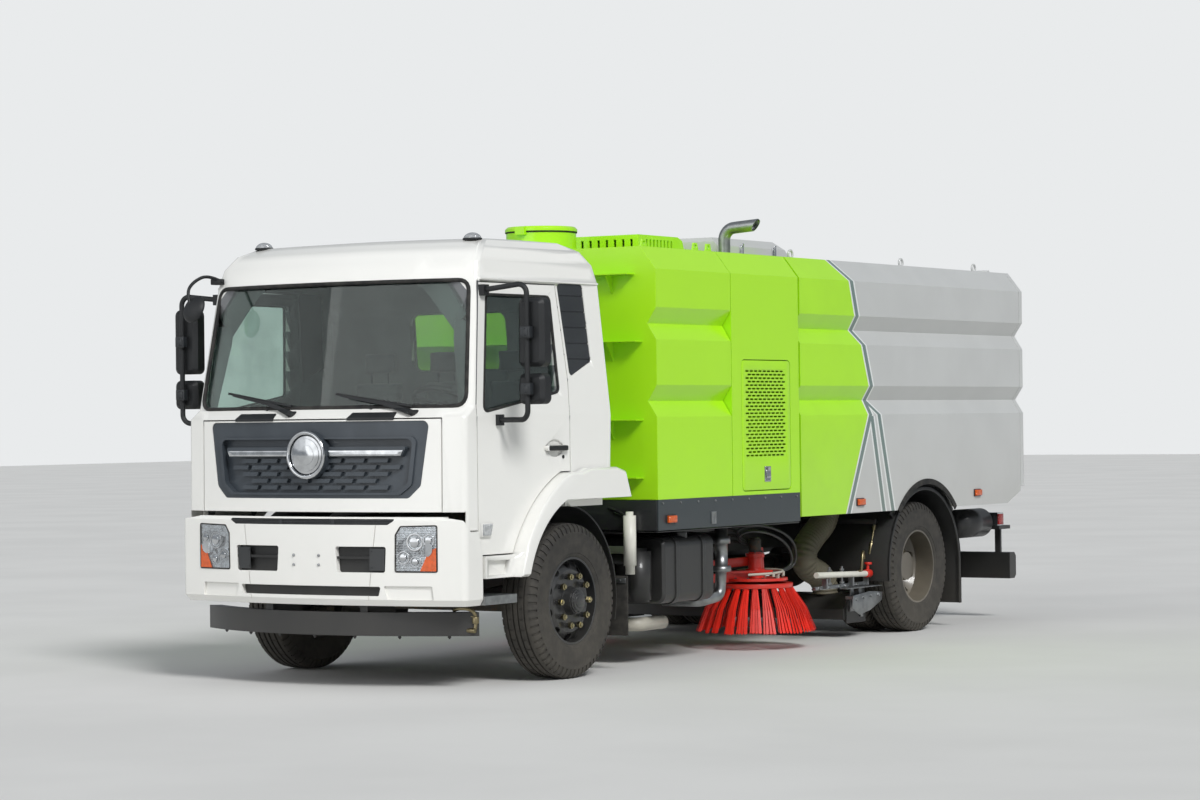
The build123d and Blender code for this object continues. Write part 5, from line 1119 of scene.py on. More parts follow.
class SWEEPER_OT_front(bpy.types.Operator):
    """Bright grille bar and blank ring, flap handles, washer jets and the front-view mirror"""

    bl_idname = "sweeper.front"
    bl_label = "Front pieces"

    def execute(self, context):
        near, far = BAR_ENDS
        low, high = BAR_EDGES
        bars = [bent_plate("Bar", ((x0, low), (x1, low), (x1 + BAR_SLANT, high), (x0 - BAR_SLANT, high)), 0.010,
                           0.016, cab_front, (16, 3)) for x0, x1 in ((near, far), (-far, -near))]
        for piece in bars:
            soften(piece, 0.003)
        # Plain bright ring round a blank disc
        rim = start_ring("Ring", (0, -4.090, EMBLEM_Z), 0.142, 0.013, 56, 12, (math.pi / 2, 0, 0))
        disc = start_drum("Disc", (0, -4.083, EMBLEM_Z), 0.122, 0.010, "Y", 56)
        sink(disc, "-y", 0.018, (0, -0.005, 0), 0.040, (0, -0.003, 0))
        soften(disc, 0.002)
        fit("Grille_brightwork", [*bars, rim, disc], "front_flap", "chrome")

        handles = []
        for x0, x1 in ((-0.640, -0.295), (0.295, 0.640)):
            handle = bent_plate("Flap handle", ((x0, 1.724), (x1, 1.724), (x1 - 0.012, 1.760), (x0 + 0.012, 1.760)),
                                0.022, 0.022, cab_front, (10, 3))
            choose_faces(handle, lambda spot, normal: normal.z > 0.6)
            bpy.ops.transform.translate(value=(0, 0.012, 0))
            to_object_mode()
            soften(handle, 0.005, 3)
            handles.append(handle)
        fit("Flap_handles", handles, "chassis", "plastic")

        jets = [start_drum("Jet", (x, cab_front(x, 1.785) - 0.006, 1.785), 0.011, 0.016, "Y", 16)
                for x in (-0.420, 0.420)]
        for jet in jets:
            sink(jet, "-y", 0.004, (0, -0.006, 0))
            soften(jet, 0.0015)
        fit("Washer_jets", jets, "chassis", "plastic")

        # Front-view mirror on a bent tube from the cab's top right corner
        head = cut_ball("Head", FRONT_MIRROR, (0.098, 0.050, 0.094), (math.radians(-22), 0, math.radians(-12)), 40,
                        FRONT_MIRROR, (0.2, 0.93, -0.36), True)
        soften(head, 0.003)
        # The tube starts inside the cab's corner, above the door
        tube = start_tube("Mirror tube", [(-0.985, -3.700, 2.640), (-1.030, -3.790, 2.690), (-1.070, -3.900, 2.640),
                                          (-1.060, -3.985, 2.560), (-1.020, -3.985, 2.470)], 0.011)
        foot = start_box("Foot", (-1.052, -3.745, 2.622), (-0.985, -3.675, 2.662), edge=0.006)
        fit("Front_mirror", [head, tube, foot], "chassis", "plastic")
        return {"FINISHED"}


# Lamps

# Head-lamp bowls: place across, height, radius
BOWLS = ((0.800, 0.938, 0.058), (0.896, 0.950, 0.040), (0.722, 0.840, 0.043), (0.806, 0.815, 0.038))
LAMP_RIM = ((0.665, 0.752), (0.951, 0.752), (0.951, 1.042), (0.703, 1.036), (0.669, 0.985))
ROOF_LAMP_Y = -3.420
ROOF_LAMP_RADIUS = 0.048
ROOF_LAMP_STRETCH = 1.3
# Side marker lamps: body, distance back, height
MARKERS = (("chassis", -1.660, 1.010), ("hopper", 1.108, 1.048), ("hopper", 3.136, 1.067))


class SWEEPER_OT_lamps(bpy.types.Operator):
    """Clear covers with amber corners, fog blanks, roof lamps, side lamps and tail lamps"""

    bl_idname = "sweeper.lamps"
    bl_label = "Lamps"

    def execute(self, context):
        self.head_lamps()
        self.bumper_slats()
        for name, side in SIDES:
            x = side * 0.850
            stretch = (ROOF_LAMP_RADIUS * ROOF_LAMP_STRETCH, ROOF_LAMP_RADIUS, ROOF_LAMP_RADIUS * 0.85)
            dome = cut_ball("Dome", (x, ROOF_LAMP_Y, 2.868), stretch, (0, 0, 0), 28, (x, 0, 2.862), (0, 0, 1), False)
            smooth(dome, 40)
            fit(f"Roof_lamp_{name}", [dome], "chassis", "lamp")
            base = start_drum("Base", (x, ROOF_LAMP_Y, 2.866), 0.052, 0.014, "Z", 36)
            base.data.transform(Matrix.Translation((x, 0, 0)) @ Matrix.Diagonal((ROOF_LAMP_STRETCH, 1, 1, 1))
                                @ Matrix.Translation((-x, 0, 0)))
            soften(base, 0.003)
            fit(f"Roof_lamp_base_{name}", [base], "chassis", "plastic")
        # Side marker lamps, each an amber lens in a dark base
        for number, (body, y, z) in enumerate(MARKERS, 1):
            base = start_box("Base", (1.249, y - 0.062, z - 0.030), (1.258, y + 0.062, z + 0.030), 0.005, 3)
            lens = start_box("Lens", (1.257, y - 0.054, z - 0.024), (1.272, y + 0.054, z + 0.024))
            sink(lens, "+x", 0.006, (0.004, 0, 0))
            soften(lens, 0.003, 3)
            fit(f"Side_lamp_base_{number}", both(base), body, "plastic")
            fit(f"Side_lamp_{number}", both(lens), body, "amber")
        for name, side in SIDES:
            lens = flank_plate("Door lamp", ((-3.755, 0.972), (-3.672, 0.972), (-3.652, 1.045), (-3.755, 1.045)),
                               0.012, 0.024)
            soften(lens, 0.003)
            fit_on_side(f"Door_lamp_{name}", [lens], side, f"door_{name}", "lamp")
        # Tail lamps: red, amber and clear lenses on the rear face of each lamp box
        for finish, x0, x1 in (("red", 0.932, 1.112), ("amber", 0.872, 0.918), ("clear", 0.826, 0.868)):
            lens = start_box("Lens", (x0, 3.896, 0.783), (x1, 3.914, 0.874))
            sink(lens, "+y", 0.008, (0, 0.006, 0))
            soften(lens, 0.003, 3)
            fit(f"Tail_lens_{finish}", both(lens), "chassis", finish)
        side_red = start_box("Lens", (1.118, 3.800, 0.784), (1.128, 3.890, 0.872), 0.003)
        fit("Tail_lens_side", both(side_red), "chassis", "red")
        return {"FINISHED"}

    def head_lamps(self):
        """Covers, amber corners, reflector bowls and rims of the head lamps."""
        cover = [bent_plate("Cover", ((0.667, 0.754), (0.949, 0.754), (0.949, 1.039), (0.672, 0.985)), 0.002, 0.002,
                            bumper_front, (12, 12)),
                 bent_plate("Corner", ((0.672, 0.985), (0.949, 1.039), (0.949, 1.040), (0.704, 1.034)), 0.002, 0.002,
                            bumper_front, (12, 3))]
        cover = join("Cover", cover)
        smooth(cover, 30)
        fit("Lamp_covers", both(cover), "chassis", "cover")
        lens = bent_plate("Amber", ((0.838, 0.757), (0.946, 0.757), (0.946, 0.904), (0.893, 0.874)), 0.0015, 0.0045,
                          bumper_front, (6, 5))
        fit("Lamp_ambers", both(lens), "chassis", "amber")
        bowls = []
        for x, z, radius in BOWLS:
            bowl = start_drum("Bowl", (x, bumper_front(x, z) + 0.006, z), radius, 0.016, "Y", 40)
            sink(bowl, "-y", radius * 0.22, (0, 0.009, 0), radius * 0.25, (0, -0.016, 0))
            soften(bowl, 0.002, 3, 25)
            for corner in bowl.data.vertices:
                corner.co.y += bumper_front(corner.co.x, corner.co.z) - bumper_front(x, z)
            bowls += both(bowl)
        fit("Lamp_reflectors", bowls, "chassis", "chrome")
        rim = finely(rounded_outline(LAMP_RIM, 0.012), 0.03)
        seal = strip_along("Rim", [(x, bumper_front(x, z) - 0.001, z) for x, z in rim], 0.0045)
        fit("Lamp_rims", both(seal), "chassis", "rubber")

    def bumper_slats(self):
        """Blanks in the outer thirds of the bumper's openings, and the slats of its upper grille."""
        slats = []
        for side in (1.0, -1.0):
            corners = [(side * x, z) for x, z in ((0.478, 0.757), (0.584, 0.757), (0.590, 0.897), (0.480, 0.897))]
            if side < 0:
                corners = [corners[1], corners[0], corners[3], corners[2]]
            slats.append(bent_plate("Blank", corners, 0.003, -0.004, bumper_front, (5, 4)))
            slats += [start_drum("Screw", (side * 0.492, bumper_front(0.492, z) + 0.003, z), 0.006, 0.006, "Y", 12)
                      for z in (0.775, 0.880)]
        for z in (1.050, 1.061, 1.072):
            reach = 0.610 + (z - 1.046) * 1.6
            slats.append(bent_plate("Slat", ((-reach, z), (reach, z), (reach, z + 0.005), (-reach, z + 0.005)),
                                    0.004, -0.003, bumper_front, (24, 1)))
        for x in (-0.210, 0.210):
            slats.append(bent_plate("Divider", ((x - 0.012, 1.048), (x + 0.012, 1.048),
                                                (x + 0.012, 1.081), (x - 0.012, 1.081)),
                                    0.004, -0.001, bumper_front, (2, 2)))
        fit("Bumper_slats", slats, "chassis", "trim")


# Engine doors with their fine vents

VENT_LOW, VENT_HIGH = (-0.614, 1.412), (-0.024, 2.040)
VENT_ROWS = 25
VENT_COLUMNS = 9
VENT_X = 1.2485
DOOR_EDGE = (-0.665, 0.037, 1.177, 2.104)
DOOR_X = 1.250


def vent_row(y_low, y_high, z_low, z_high, cells):
    """One row of slots punched in the sheet."""
    row = start_grid("Row", cells, 1, lambda u, v: (VENT_X, y_low + u * (y_high - y_low), z_low + v * (z_high - z_low)))
    choose(row)
    to_edit_mode("FACE", "SELECT")
    bpy.ops.mesh.inset(thickness=0.0068, use_individual=True, use_boundary=True)
    bpy.ops.mesh.select_mode(type="VERT")
    bpy.ops.mesh.bevel(offset=0.0048, segments=2, affect="VERTICES")
    bpy.ops.mesh.select_mode(type="FACE")
    to_object_mode()
    pitch, height = (y_high - y_low) / cells, z_high - z_low

    def is_slot(spot, normal):
        """Whether a face lies in the middle of a cell."""
        column = (spot.y - y_low) / pitch
        return abs(column - round(column - 0.5) - 0.5) < 0.05 and abs(spot.z - z_low - height / 2) < 0.002

    # The slots are the many-sided faces between the webs
    cut_faces(row, is_slot, 7)
    return row


class SWEEPER_OT_engine_doors(bpy.types.Operator):
    """Engine doors with staggered slots, a folded edge and a paddle latch"""

    bl_idname = "sweeper.engine_doors"
    bl_label = "Engine doors"

    def execute(self, context):
        pitch = (VENT_HIGH[0] - VENT_LOW[0]) / (VENT_COLUMNS + 0.5)
        height = (VENT_HIGH[1] - VENT_LOW[1]) / VENT_ROWS
        pieces = []
        for index in range(VENT_ROWS):
            shift = pitch / 2 if index % 2 else 0.0
            low = VENT_LOW[0] + shift
            z = VENT_LOW[1] + index * height
            pieces.append(vent_row(low, low + VENT_COLUMNS * pitch, z, z + height, VENT_COLUMNS))
            # The half cell beside each shifted row is left whole
            y0, y1 = (VENT_LOW[0], low) if shift else (VENT_HIGH[0] - pitch / 2, VENT_HIGH[0])
            pieces.append(start_grid("Rest", 1, 1, lambda u, v: (VENT_X, y0 + u * (y1 - y0), z + v * height)))
        sheet = join("Vent sheet", pieces)
        thicken(sheet, 0.003)

        y0, y1, z0, z1 = DOOR_EDGE
        columns = (y0, VENT_LOW[0], VENT_HIGH[0], y1)
        rows = (z0, VENT_LOW[1], VENT_HIGH[1], z1)
        edge = start_grid("Edge", 3, 3, lambda u, v: (DOOR_X, columns[round(3 * u)], rows[round(3 * v)]))
        cut_faces(edge, lambda spot, normal: (VENT_LOW[0] < spot.y < VENT_HIGH[0]
                                              and VENT_LOW[1] < spot.z < VENT_HIGH[1]))
        to_edit_mode("VERT", "DESELECT")
        shape = bmesh.from_edit_mesh(edge.data)
        for corner in shape.verts:
            off_ends = [min(abs(value - end) for end in ends)
                        for value, ends in ((corner.co.y, (y0, y1)), (corner.co.z, (z0, z1)))]
            corner.select_set(max(off_ends) < 1e-4)
        bmesh.update_edit_mesh(edge.data)
        bpy.ops.mesh.bevel(offset=0.034, segments=6, affect="VERTICES")
        to_object_mode()
        thicken(edge, 0.022)
        soften(edge, 0.0025)
        panel = join("Engine door", [sheet, edge])

        # Paddle latch: a bright dished plate with its paddle and lock
        plate = start_box("Latch", (1.249, -0.355, 1.235), (1.256, -0.265, 1.345))
        sink(plate, "+x", 0.010, (-0.004, 0, 0))
        soften(plate, 0.003, 3)
        paddle = start_box("Paddle", (1.253, -0.340, 1.262), (1.262, -0.280, 1.312))
        taper(paddle, "-z", move=(0.005, 0, 0))
        soften(paddle, 0.003, 3)
        lock = start_drum("Lock", (1.256, -0.310, 1.327), 0.008, 0.008, "X", 24)
        latch = join("Latch", [plate, paddle, lock])
        nodes = []
        for (name, _), door, catch in zip(SIDES, both(panel), both(latch)):
            node = f"engine_door_{name}"
            nodes.append(node)
            fit(f"Vent_door_{name}", [door], node, "body", nodes)
            fit(f"Door_latch_{name}", [catch], node, "chrome")
        return {"FINISHED"}


# Cab inside

# Seats: middle across the cab, half width
SEATS = ((0.560, 0.240), (0.000, 0.190), (-0.560, 0.240))
CAB_FLOOR_Z = 1.170
# Cloth: size of its cells and the most that a point may move, for pads and for headrests
PAD_CLOTH = (0.014, 0.022)
HEAD_CLOTH = (0.012, 0.016)
CLOTH_PRESSURE = 4.0
CLOTH_FRAMES = 20
LINING_DEPTH = 0.026


def profile_solid(name, outline, x0, x1):
    """A side outline of (y, z) corners carried across the vehicle."""
    piece = raw_piece(name, [(x0, y, z) for y, z in outline], [], [tuple(range(len(outline)))])
    edit_whole(piece, lambda: extrude((x1 - x0, 0, 0)), lambda: bpy.ops.mesh.select_all(action="SELECT"),
               outwards_normals)
    return piece


def stuffed(piece, voxel, cap):
    """Swell a pad as cloth under pressure, no point moving further than the cap, and apply it."""
    choose(piece)
    cells = piece.modifiers.new("Cells", "REMESH")
    cells.mode = "VOXEL"
    cells.voxel_size = voxel
    bpy.ops.object.modifier_apply(modifier=cells.name)
    rest = [corner.co.copy() for corner in piece.data.vertices]
    cloth = piece.modifiers.new("Cloth", "CLOTH")
    cloth.settings.use_pressure = True
    cloth.settings.uniform_pressure_force = CLOTH_PRESSURE
    cloth.settings.effector_weights.gravity = 0.0
    scene = bpy.context.scene
    for frame_number in range(1, CLOTH_FRAMES + 1):
        scene.frame_set(frame_number)
    bpy.ops.object.modifier_apply(modifier=cloth.name)
    scene.frame_set(1)
    for corner, start in zip(piece.data.vertices, rest):
        moved = corner.co - start
        if moved.length > cap:
            corner.co = start + moved.normalized() * cap
    smooth(piece)
    return piece


class SWEEPER_OT_seats(bpy.types.Operator):
    """Three stuffed seats with piped edges, on their bases"""

    bl_idname = "sweeper.seats"
    bl_label = "Seats"

    def execute(self, context):
        pads, piping, bases = [], [], []
        for middle, half in SEATS:
            left, right = middle - half, middle + half
            squab = start_box("Squab", (left + 0.02, -3.115, 1.385), (right - 0.02, -2.660, 1.490))
            pads.append(stuffed(squab, *PAD_CLOTH))
            back = start_box("Back", (left + 0.02, -2.640, 1.500), (right - 0.02, -2.550, 1.985))
            taper(back, "+z", (0.82, 1, 1), (0, 0.080, 0))
            pads.append(stuffed(back, *PAD_CLOTH))
            head = start_box("Headrest", (middle - 0.120, -2.545, 2.030), (middle + 0.120, -2.485, 2.165))
            pads.append(stuffed(head, *HEAD_CLOTH))
            edge = [(left + 0.028, -3.108, 1.440), (right - 0.028, -3.108, 1.440),
                    (right - 0.028, -2.668, 1.440), (left + 0.028, -2.668, 1.440)]
            piping.append(strip_along("Piping", edge, 0.005, sides=1))
            base = start_box("Base", (left + 0.03, -3.080, CAB_FLOOR_Z), (right - 0.03, -2.640, 1.385))
            taper(base, "-z", (0.8, 0.7, 1))
            soften(base, 0.02)
            bases += [start_drum("Headrest rod", (x, -2.515, 2.010), 0.007, 0.090, "Z", 12)
                      for x in (middle - 0.07, middle + 0.07)]
            bases.append(base)
        seats = fit("Cushions", pads, "chassis", "cloth")
        fit("Cushion_piping", piping, "chassis", "rubber")
        fit("Cushion_bases", bases, "chassis", "cabin")
        return {"FINISHED"}


def merged_copy(node, name):
    """A copy of a CAD node with its loose triangles merged."""
    made = copy_to(NODES[node])
    made.name = name
    edit_whole(made, lambda: bpy.ops.mesh.remove_doubles(threshold=0.0001))
    return made


class SWEEPER_OT_cabin(bpy.types.Operator):
    """Moulded dashboard, linings of the cab and doors, and the door trims"""

    bl_idname = "sweeper.cabin"
    bl_label = "Cabin"

    def execute(self, context):
        shelf = profile_solid("Dash", ((-3.768, CAB_FLOOR_Z), (-3.768, 1.700), (-3.560, 1.690), (-3.470, 1.640),
                                       (-3.440, 1.560), (-3.500, 1.350), (-3.600, CAB_FLOOR_Z)), -1.0, 1.0)
        soften(shelf, 0.022, 4, 20)
        hood = profile_solid("Hood", ((-3.680, 1.690), (-3.620, 1.760), (-3.480, 1.790), (-3.440, 1.770),
                                      (-3.455, 1.620), (-3.560, 1.620)), 0.330, 0.790)
        choose_faces(hood, lambda spot, normal: normal.z > 0.6)
        bpy.ops.transform.resize(value=(0.86, 1, 1))
        to_object_mode()
        soften(hood, 0.018, 4, 25)
        stack = profile_solid("Stack", ((-3.520, 1.640), (-3.415, 1.600), (-3.430, 1.330), (-3.530, 1.300)),
                              -0.170, 0.170)
        soften(stack, 0.012, 3, 30)
        pieces = [shelf, hood, stack]
        for x in (-0.880, -0.330, 0.250, 0.900):
            vent = start_box("Vent", (x - 0.065, -3.475, 1.560), (x + 0.065, -3.430, 1.625))
            sink(vent, "+y", 0.008, (0, -0.012, 0))
            soften(vent, 0.004)
            pieces.append(vent)
            pieces += [start_box("Slat", (x - 0.056, -3.448, z), (x + 0.056, -3.434, z + 0.004))
                       for z in (1.574, 1.590, 1.606)]
        pieces += [start_drum("Knob", (x, -3.412, z), 0.016, 0.030, "Y", 20)
                   for z in (1.400, 1.470) for x in (-0.100, 0.0, 0.100)]
        fit("Dashboard", pieces, "chassis", "cabin", ("cab_interior",))

        self.line("Cab_lining", "cab_shell", "chassis")
        for name, side in SIDES:
            self.line(f"Door_lining_{name}", f"door_{name}", f"door_{name}")
            panel = flank_plate("Trim", ((-3.660, 1.200), (-2.880, 1.200), (-2.900, 1.700), (-3.640, 1.640)),
                                0.018, -0.052, (8, 6))
            choose_faces(panel, lambda spot, normal: normal.x < -0.7 and -3.5 < spot.y < -3.0 and 1.44 < spot.z < 1.56)
            extrude((-0.045, 0, 0))
            to_object_mode()
            soften(panel, 0.010, 3, 30)
            fit_on_side(f"Door_trim_{name}", [panel], side, f"door_{name}", "cabin")
        return {"FINISHED"}

    def line(self, name, node, body):
        """A thin trim laid on the inner faces of a CAD node."""
        def outer(spot, normal):
            """Whether a face lies outside the room that is lined."""
            inside = (abs(spot.x) < cab_flank(spot.y, spot.z) - LINING_DEPTH
                      and cab_front(spot.x, spot.z) + LINING_DEPTH < spot.y < cab_level(spot.z)[3] - LINING_DEPTH
                      and CAB_FLOOR_Z + 0.01 < spot.z < 2.862)
            return not inside

        made = merged_copy(node, name)
        cut_faces(made, outer)
        thicken(made, 0.003, 1.0)
        smooth(made, 30)
        fit(name, [made], body, "lining")


# Pieces made from a CAD node's own form

BOTTLE_PLACE = (1.060, -1.885)
# How far from the bottle's axis its body reaches, and the share by which it is slimmed
BOTTLE_REACH = 0.075
BOTTLE_SLIMMING = 0.34
# Below this height the pressings' flat faces are shaded flat
FLAT_BELOW_Z = 2.60


def mesh_box(piece):
    """The low and high corner of a piece whose place is in its mesh."""
    corners = [corner.co for corner in piece.data.vertices]
    return tuple(Vector([pick(spot[i] for spot in corners) for i in range(3)]) for pick in (min, max))


class SWEEPER_OT_pressings(bpy.types.Operator):
    """Cab pressings whose broad bends are smooth, and tanks that each get their own material"""

    bl_idname = "sweeper.pressings"
    bl_label = "Pressings"

    def execute(self, context):
        for node, name, body in (("cab_shell", "Cab_pressing", "chassis"), ("door_left", "Door_skin_left", "door_left"),
                                 ("door_right", "Door_skin_right", "door_right")):
            skin = merged_copy(node, name)
            smooth(skin, 29)
            weights = skin.modifiers.new("Weights", "WEIGHTED_NORMAL")
            weights.keep_sharp = True
            weights.weight = 80
            flat = skin.vertex_groups.new(name="Flat")
            flat.add([corner.index for corner in skin.data.vertices if corner.co.z < FLAT_BELOW_Z], 1.0, "REPLACE")
            weights.vertex_group = flat.name
            bpy.ops.object.modifier_apply(modifier=weights.name)
            fit(name, [skin], body, "cab", (node,))

        choose(merged_copy("air_tanks", "Tanks"))
        bpy.ops.mesh.separate(type="LOOSE")
        groups = {"chassis": [], "white": [], "steel": [], "pale": []}
        for piece in list(context.selected_objects):
            low, high = mesh_box(piece)
            middle = (low + high) / 2
            key = "chassis"
            if 0 < middle.x < 1.2 and -2.0 < middle.y < -1.8:
                key = "white"
                # The bottle is slimmer than the solid that stands for it; its bracket stays
                for corner in piece.data.vertices:
                    offset = Vector((corner.co.x - BOTTLE_PLACE[0], corner.co.y - BOTTLE_PLACE[1], 0))
                    if offset.length < BOTTLE_REACH:
                        corner.co -= offset * BOTTLE_SLIMMING
            elif middle.x > 0 and -0.95 < middle.y < -0.5:
                key = "steel"
            elif middle.x > 0 and high.z < 0.75 and -1.7 < middle.y < -1.3:
                key = "pale"
            groups[key].append(piece)
        for key, found in groups.items():
            if found:
                piece = join(f"Tanks_{key}", found)
                smooth(piece, 40)
                dress(piece, "chassis", FINISH[key], ("air_tanks",) if key == "chassis" else ())
        return {"FINISHED"}


# Small pieces of the cab's side and front

# Mirror heads: low and high edge; the tube and the heads' rear face
MIRROR_HEADS = ((2.033, 2.468), (1.797, 1.991))
MIRROR_HEAD_X = (1.305, 1.500)
MIRROR_BACK = -3.505
MIRROR_TUBE_X = 1.400
MIRROR_TUBE_Y = -3.625
LOCK_PLACE = (-2.835, 1.455)


class SWEEPER_OT_fittings(bpy.types.Operator):
    """Door handles, mirror clamps and glasses, plate bolts, nozzles on the front bar and the front flaps"""

    bl_idname = "sweeper.fittings"
    bl_label = "Cab fittings"

    def execute(self, context):
        for name, side in SIDES:
            grip = flank_plate("Grip", ((-3.035, 1.495), (-2.815, 1.495), (-2.815, 1.531), (-3.035, 1.531)),
                               0.030, 0.036, (8, 3))
            soften(grip, 0.012, 3, 30)
            lock = start_drum("Lock", (cab_flank(*LOCK_PLACE) + 0.002, *LOCK_PLACE), 0.012, 0.008, "X", 24, 0.002)
            fit_on_side(f"Door_handle_{name}", [grip, lock], side, f"door_{name}", "plastic")
            # Mirrors: a bright glass let into the rear face, and a clamp round the tube at each head
            glasses, clamps = [], []
            for low_z, high_z in MIRROR_HEADS:
                glasses.append(start_box("Glass", (MIRROR_HEAD_X[0] + 0.018, MIRROR_BACK - 0.004, low_z + 0.020),
                                         (MIRROR_HEAD_X[1] - 0.018, MIRROR_BACK + 0.002, high_z - 0.020), 0.003))
                middle = (low_z + high_z) / 2
                clamp = start_box("Clamp", (MIRROR_TUBE_X - 0.036, MIRROR_TUBE_Y - 0.030, middle - 0.034),
                                  (MIRROR_TUBE_X + 0.036, MIRROR_TUBE_Y + 0.010, middle + 0.034))
                sink(clamp, "-y", 0.010, (0, -0.006, 0))
                soften(clamp, 0.004, 3)
                clamps.append(clamp)
                clamps += [start_drum("Screw", (MIRROR_TUBE_X, MIRROR_TUBE_Y - 0.037, z), 0.006, 0.006, "Y", 12)
                           for z in (middle - 0.020, middle + 0.020)]
            fit_on_side(f"Mirror_glass_{name}", glasses, side, f"door_{name}", "mirror")
            fit_on_side(f"Mirror_clamps_{name}", clamps, side, f"door_{name}", "trim")

        bolts = [start_drum("Bolt", (x, bumper_front(x, z) - 0.003, z), 0.010, 0.008, "Y", 20, 0.003)
                 for x in (-0.100, 0.100) for z in (0.790, 0.850)]
        fit("Plate_bolts", bolts, "chassis", "steel")

        # Spray bar: a row of dark jets below it, and a brass valve with its pipe at the left end
        jets = []
        for x in (-0.90, -0.60, -0.30, 0.0, 0.30, 0.60, 0.90):
            y = -4.060 + 0.320 * (x / 1.090) ** 2 + 0.045
            jets += [start_drum("Jet", (x, y, 0.334), 0.011, 0.016, "Z", 16),
                     start_drum("Tip", (x, y, 0.323), 0.006, 0.008, "Z", 16)]
        brass = [start_tube("Feed", [(0.930, -3.790, 0.500), (0.980, -3.800, 0.520), (1.060, -3.760, 0.505),
                                     (1.075, -3.745, 0.440), (1.070, -3.760, 0.380)], 0.012),
                 start_drum("Cock", (1.072, -3.755, 0.440), 0.022, 0.040, "Z", 20, 0.002),
                 start_box("Lever", (1.064, -3.800, 0.462), (1.080, -3.745, 0.468), 0.002),
                 start_drum("Elbow", (1.050, -3.768, 0.375), 0.016, 0.060, "X", 16, 0.002)]
        fit("Spray_fittings", brass, "chassis", "brass")
        fit("Spray_jets", jets, "chassis", "chassis")

        # Mud flaps behind the front wheels, each on a clamping strip
        flaps, strips = [], []
        for side in (1.0, -1.0):
            low, high = sorted((side * 0.750, side * 1.155))
            flaps.append(start_box("Flap", (low, -2.076, 0.236), (high, -2.066, 0.640), 0.003))
            strips.append(start_box("Strip", (low + 0.01, -2.084, 0.590), (high - 0.01, -2.076, 0.625), 0.002))
            strips += [start_drum("Bolt", (low + 0.05 + 0.075 * index, -2.087, 0.608), 0.009, 0.008, "Y", 6)
                       for index in range(5)]
        fit("Front_flaps", flaps, "chassis", "rubber")
        fit("Front_flap_strips", strips, "chassis", "steel")
        return {"FINISHED"}


# Hopper, tail door and roof

TAIL_Y = 4.034
# Rear mudguards: outer and inner radius of the band, the lip's inner radius, and where the flap ends
GUARD_OUTER = 0.637
GUARD_BAND = 0.625
GUARD_LIP = 0.600
GUARD_EDGE_X = 1.225
GUARD_LOW_Z = 0.190
# Arch trims: inner and outer radius, thickness, and their place across
ARCH_RADII = (0.645, 0.690)
ARCH_THICKNESS = 0.012
ARCH_X = 1.251
LATCH_X = 1.140


def side_arc(radius, start, stop, steps=36):
    """Points (y, z) of an arc about the rear axle, in degrees from the front over the top to the rear."""
    turns = [math.radians(start + (stop - start) * index / steps) for index in range(steps + 1)]
    return [(REAR_AXLE_Y - radius * math.cos(turn), AXLE_Z + radius * math.sin(turn)) for turn in turns]


